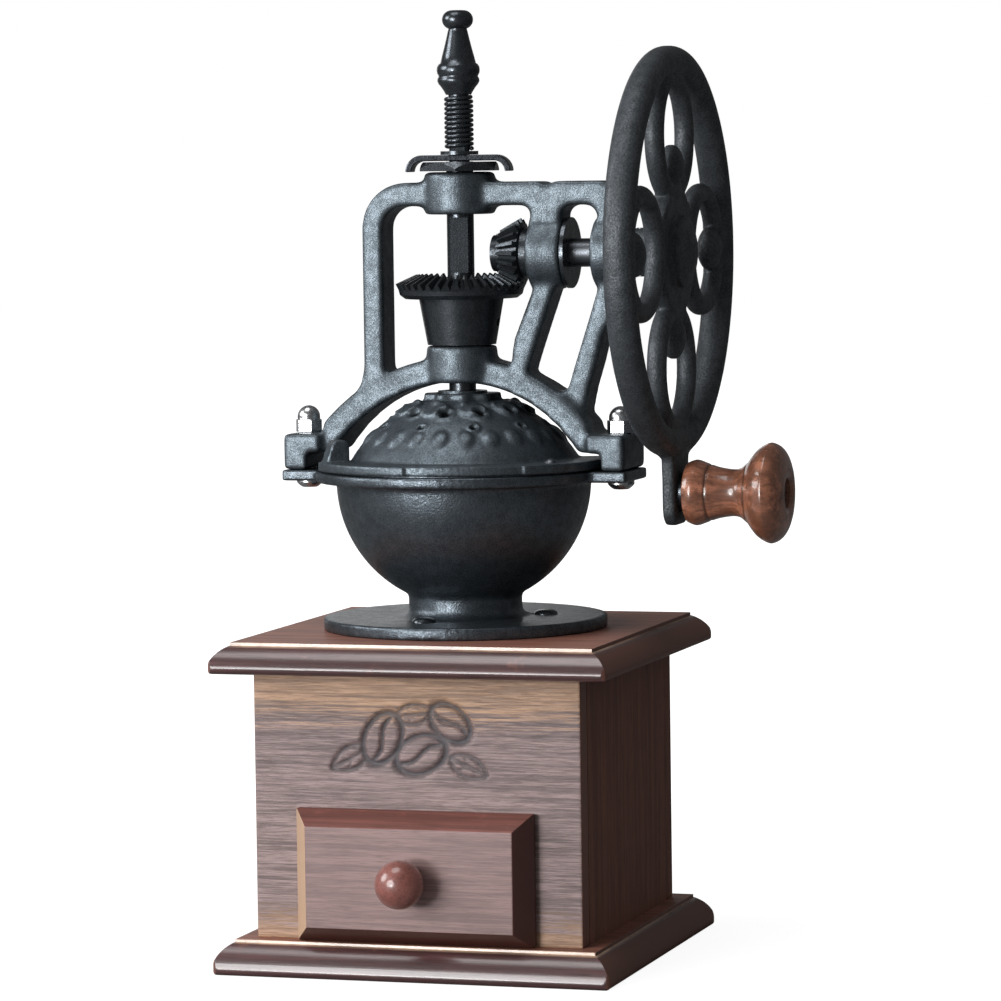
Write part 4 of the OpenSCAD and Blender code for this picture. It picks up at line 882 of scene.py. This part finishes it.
class BuildDrive(bpy.types.Operator):
    """Gears, shafts, burrs and the small hardware of the bridge"""

    bl_idname = "grinder.drive"
    bl_label = "Gears and hardware"

    def execute(self, context):
        dress("Black gear", "crown_gear", "pinion")
        dress("Turned black", "vertical_shaft", "thrust_washer", "spring_washer", "handle_washer")
        dress("Ground steel", "drive_shaft", "crown_pin", "pinion_pin", "wheel_pin", "wheel_washer")
        dress("Ground steel", "burr_washer", "burr_screw")
        dress("Dull iron", "ring_burr", "cone_burr")
        dress("Bright plate", "bridge_bolts", "handle_screw")
        nuts = planed_copy("acorn_nuts", "plated_cap_nuts", "Bright plate", 0.25 * MM)
        seat(nuts, "housing", "plated", "acorn_nuts")
        plate = planed_copy("lock_plate", "curled_lock_plate", "Blued plate", 0.35 * MM)
        seat(plate, "lock", "steel", "lock_plate")
        nut = planed_copy("adjusting_nut", "hexagon_nut", "Turned black", 0.3 * MM)
        seat(nut, "adjuster", "steel", "adjusting_nut")
        self.round_screw_heads()
        return {"FINISHED"}

    def round_screw_heads(self):
        """Raises the heads of the foot flange's wood screws into low domes."""
        screws = merged_copy("bowl_screws", "round_head_screws", "Turned black")
        shape = bmesh.new()
        shape.from_mesh(screws.data)
        bmesh.ops.dissolve_limit(
            shape, angle_limit=math.radians(1), verts=shape.verts, edges=shape.edges, delimit={"NORMAL"}
        )
        top = max(vertex.co.z for vertex in shape.verts) - 0.01 * MM
        heads = [face for face in shape.faces if min(vertex.co.z for vertex in face.verts) > top]
        for inward, rise in ((0.1, 0.5), (0.4, 0.5), (0.7, 0.35), (1.0, 0.2), (1.2, 0.08)):
            bmesh.ops.inset_individual(shape, faces=heads, thickness=inward * MM, depth=rise * MM)
        for face in shape.faces:
            face.smooth = True
        shape.to_mesh(screws.data)
        shape.free()
        screws.data.set_sharp_from_angle(angle=math.radians(50))
        seat(screws, "housing", "dark_steel", "bowl_screws")


class BuildAdjuster(bpy.types.Operator):
    """Coiled spring and turned top knob"""

    bl_idname = "grinder.adjuster"
    bl_label = "Spring and top knob"

    def execute(self, context):
        self.coil_spring(context.scene.grinder_sizes)
        self.turn_top_knob()
        return {"FINISHED"}

    def coil_spring(self, sizes):
        """Sweeps a round wire up a helix between the washer and the top knob."""
        low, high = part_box("spring")
        wire = sizes.wire / 2
        middle = (high.x - low.x) / 2 - wire
        steps_per_turn = 24
        rise = (high.z - low.z - 2 * wire) / sizes.spring_turns
        shape = bmesh.new()
        stand = Matrix.Translation((middle, 0, low.z + wire)) @ Matrix.Rotation(math.pi / 2, 4, "X")
        bmesh.ops.create_circle(shape, cap_ends=False, segments=10, radius=wire, matrix=stand)
        bmesh.ops.spin(
            shape, geom=shape.verts[:] + shape.edges[:], cent=(0, 0, 0), axis=(0, 0, 1),
            dvec=(0, 0, rise / steps_per_turn), angle=2 * math.pi * sizes.spring_turns,
            steps=steps_per_turn * sizes.spring_turns,
        )
        bmesh.ops.holes_fill(shape, edges=shape.edges, sides=12)
        bmesh.ops.recalc_face_normals(shape, faces=shape.faces)
        for face in shape.faces:
            face.smooth = True
        mesh = bpy.data.meshes.new("coiled_spring")
        shape.to_mesh(mesh)
        shape.free()
        spring = link_mesh("coiled_spring", mesh, "Turned black")
        seat(spring, "shaft", "dark_steel", "spring")
        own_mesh(spring)

    def turn_top_knob(self):
        low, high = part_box("top_knob")
        height = high.z - low.z
        button = 3.1 * MM
        middle = height - button
        skirt = [(0, 0), (4.2, 0), (4.9, 1.3), (5.7, 2.5), (6.6, 3.6), (7.0, 4.5), (6.9, 5.3), (6.5, 6.0)]
        bead = [(6.6, 6.4), (7.0, 7.1), (7.15, 8.1), (7.0, 9.2), (6.5, 10.0), (5.9, 10.4)]
        cone = [(5.3, 12.8), (4.6, 15.4), (3.9, 18.2), (3.3, 20.8), (3.05, 21.6)]
        lower = [(radius * MM, level * MM) for radius, level in (*skirt, *bead, *cone)]
        round_top = arc((2.05 * MM, middle), button, -70, 90, 20)
        outline = [*lower, *round_top, (0, height)]
        knob = turned_piece("turned_top_knob", "Turned black", outline, Matrix.Translation((0, 0, low.z)))
        seat(knob, "shaft", "dark_steel", "top_knob")


class BuildCrankKnob(bpy.types.Operator):
    """Turned wooden crank knob with two grooves and a recessed screw"""

    bl_idname = "grinder.crank_knob"
    bl_label = "Crank knob"

    def execute(self, context):
        low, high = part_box("handle_knob")
        length = high.x - low.x
        radius = (high.z - low.z) / 2
        stations = [
            (0.02, 0.6), (0.07, 0.645), (0.12, 0.655), (0.21, 0.59), (0.34, 0.505), (0.5, 0.475), (0.6, 0.6),
            (0.71, 0.87), (0.81, 0.995), (0.865, 0.99), (0.92, 0.92), (0.96, 0.81), (0.985, 0.68),
        ]
        grooves = ((0.235, 0.35), (0.62, 0.3))
        curve = smooth_curve(stations, 10)
        outline = []
        for share, wide in curve:
            cut = sum(depth * math.exp(-(((share - place) / 0.011) ** 2)) for place, depth in grooves)
            outline.append((wide * radius - cut * MM, share * length))
        recess_r = 5 * MM
        recess_floor = length - 5 * MM
        recess = [(0.36 * radius, length), (recess_r, length - 0.8 * MM), (recess_r, recess_floor)]
        bore = 3.05 * MM
        bore_wall = [(bore, recess_floor), (bore, 0)]
        whole = [(bore, 0), (0.5 * radius, 0), *outline, (0.5 * radius, length), *recess, *bore_wall]
        place = Matrix.Translation((low.x, 0, (low.z + high.z) / 2)) @ Matrix.Rotation(math.pi / 2, 4, "Y")
        knob = turned_piece("turned_crank_knob", "Crank knob wood", whole, place, 128)
        marks = []
        for vertex in knob.data.vertices:
            share = (vertex.co.x - low.x) / length
            marks.append(max(math.exp(-(((share - spot) / 0.012) ** 2)) for spot, _ in grooves))
        store_mask(knob, "groove", marks)
        seat(knob, "crank_knob", "crank_knob_wood", "handle_knob")
        return {"FINISHED"}


# Stage


def camera_place(azimuth, elevation, roll, aim_right, aim_up, distance):
    """The camera's matrix: turned right by azimuth, looking down by elevation, tilted by roll, in degrees."""
    turn, rise, lean = (math.radians(value) for value in (azimuth, elevation, roll))
    back = Vector((math.sin(turn) * math.cos(rise), -math.cos(turn) * math.cos(rise), math.sin(rise)))
    level = Vector((math.cos(turn), math.sin(turn), 0))
    upright = back.cross(level)
    right = level * math.cos(lean) + upright * math.sin(lean)
    up = upright * math.cos(lean) - level * math.sin(lean)
    eye = level * aim_right + Z_AXIS * aim_up + back * distance
    place = Matrix((right, up, back)).transposed().to_4x4()
    place.translation = eye
    return place


def aimed(position, target):
    """A matrix that puts a lamp at position, shining at target."""
    look = (Vector(target) - Vector(position)).to_track_quat("-Z", "Y").to_matrix().to_4x4()
    look.translation = position
    return look


class BuildStage(bpy.types.Operator):
    """White floor, studio lamps and the camera"""

    bl_idname = "grinder.stage"
    bl_label = "Stage"

    def execute(self, context):
        self.lay_floor()
        self.set_world(context.scene)
        self.hang_lamps()
        self.place_camera(context.scene)
        context.scene.view_settings.view_transform = "Standard"
        return {"FINISHED"}

    def lay_floor(self):
        shape = bmesh.new()
        bmesh.ops.create_grid(shape, x_segments=1, y_segments=1, size=4.0)
        mesh = bpy.data.meshes.new("floor")
        shape.to_mesh(mesh)
        shape.free()
        floor = bpy.data.objects.new("floor", mesh)
        bpy.context.scene.collection.objects.link(floor)
        material, tree, shader, coordinates = start_material("White floor")
        shader.inputs["Roughness"].default_value = 0.9
        path = tree.nodes.new("ShaderNodeLightPath")
        seen = math_node(tree, "MAXIMUM", path.outputs["Is Camera Ray"], path.outputs["Is Transmission Ray"])
        base = mix_colours(tree, seen, (0.18, 0.18, 0.18), (0.86, 0.86, 0.86))
        tree.links.new(base, shader.inputs["Base Color"])
        far = add(tree, "ShaderNodeVectorMath", {0: coordinates}, operation="LENGTH").outputs["Value"]
        level = ramp_between(tree, far, 0.12, 0.45, 1.27, 1.6)
        glow = add(tree, "ShaderNodeEmission", {"Color": (1, 1, 1, 1), "Strength": level})
        share = math_node(tree, "MULTIPLY", seen, 0.72)
        blend = add(tree, "ShaderNodeMixShader", {0: share, 1: shader.outputs[0], 2: glow.outputs[0]})
        tree.links.new(blend.outputs[0], tree.nodes["Material Output"].inputs["Surface"])
        mesh.materials.append(material)

    def set_world(self, scene):
        world = bpy.data.worlds.new("Studio")
        world.use_nodes = True
        scene.world = world
        tree = world.node_tree
        path = tree.nodes.new("ShaderNodeLightPath")
        seen = math_node(tree, "MAXIMUM", path.outputs["Is Camera Ray"], path.outputs["Is Transmission Ray"])
        glossy = math_node(tree, "MULTIPLY", path.outputs["Is Glossy Ray"], 0.1)
        fill = math_node(tree, "MULTIPLY", path.outputs["Is Diffuse Ray"], 0.26)
        level = math_node(tree, "MAXIMUM", math_node(tree, "MAXIMUM", seen, glossy), fill)
        background = tree.nodes["Background"]
        background.inputs["Color"].default_value = (1, 1, 1, 1)
        tree.links.new(level, background.inputs["Strength"])

    def hang_lamps(self):
        lamps = (
            ("key", (-0.62, -1.4, 0.36), 0.9, 19.0),
            ("left", (-1.3, -0.5, 0.75), 0.8, 12.0),
            ("top", (-0.25, -0.3, 1.45), 0.8, 6.0),
            ("back", (-0.85, 1.4, 0.42), 1.0, 1.8),
            ("sheen", (-0.41, -1.34, 0.12), 0.22, 2.2),
        )
        for name, place, size, power in lamps:
            lamp = bpy.data.lights.new(name, "AREA")
            lamp.shape = "DISK"
            lamp.size = size
            lamp.energy = power
            holder = bpy.data.objects.new(name, lamp)
            holder.matrix_world = aimed(place, (0, 0, 0.15))
            bpy.context.scene.collection.objects.link(holder)

    def place_camera(self, scene):
        frame_width = 1001
        focal_pixels = 4712.6
        camera = bpy.data.cameras.new("photo_camera")
        camera.sensor_width = 36
        camera.lens = focal_pixels * camera.sensor_width / frame_width
        camera.clip_end = 20
        holder = bpy.data.objects.new("photo_camera", camera)
        holder.matrix_world = camera_place(17.15, 4.17, -0.774, 12.07 * MM, 150.68 * MM, 1568.6 * MM)
        scene.collection.objects.link(holder)
        scene.camera = holder


OPERATORS = (
    BuildCastings, BuildLid, BuildBox, BuildDrawer, BuildDrive, BuildAdjuster, BuildCrankKnob, BuildStage,
)


class GrinderPanel(bpy.types.Panel):
    """Lists the grinder's pieces, sizes and colours"""

    bl_idname = "VIEW3D_PT_grinder"
    bl_label = "Coffee grinder"
    bl_space_type = "VIEW_3D"
    bl_region_type = "UI"
    bl_category = "Grinder"

    def draw(self, context):
        for operator in OPERATORS:
            self.layout.operator(operator.bl_idname)
        for group in (context.scene.grinder_sizes, context.scene.grinder_colours):
            box = self.layout.box()
            for name in group.bl_rna.properties.keys():
                if name not in ("rna_type", "name"):
                    box.prop(group, name)


CLASSES = (GrinderColours, GrinderSizes, *OPERATORS, GrinderPanel)


def register():
    for item in CLASSES:
        bpy.utils.register_class(item)
    bpy.types.Scene.grinder_colours = bpy.props.PointerProperty(type=GrinderColours)
    bpy.types.Scene.grinder_sizes = bpy.props.PointerProperty(type=GrinderSizes)


def unregister():
    del bpy.types.Scene.grinder_sizes
    del bpy.types.Scene.grinder_colours
    for item in reversed(CLASSES):
        bpy.utils.unregister_class(item)


def main():
    register()
    bpy.ops.grinder.castings()
    bpy.ops.grinder.lid()
    bpy.ops.grinder.box()
    bpy.ops.grinder.drawer()
    bpy.ops.grinder.drive()
    bpy.ops.grinder.adjuster()
    bpy.ops.grinder.crank_knob()
    bpy.ops.grinder.stage()


if __name__ == "__main__":
    main()
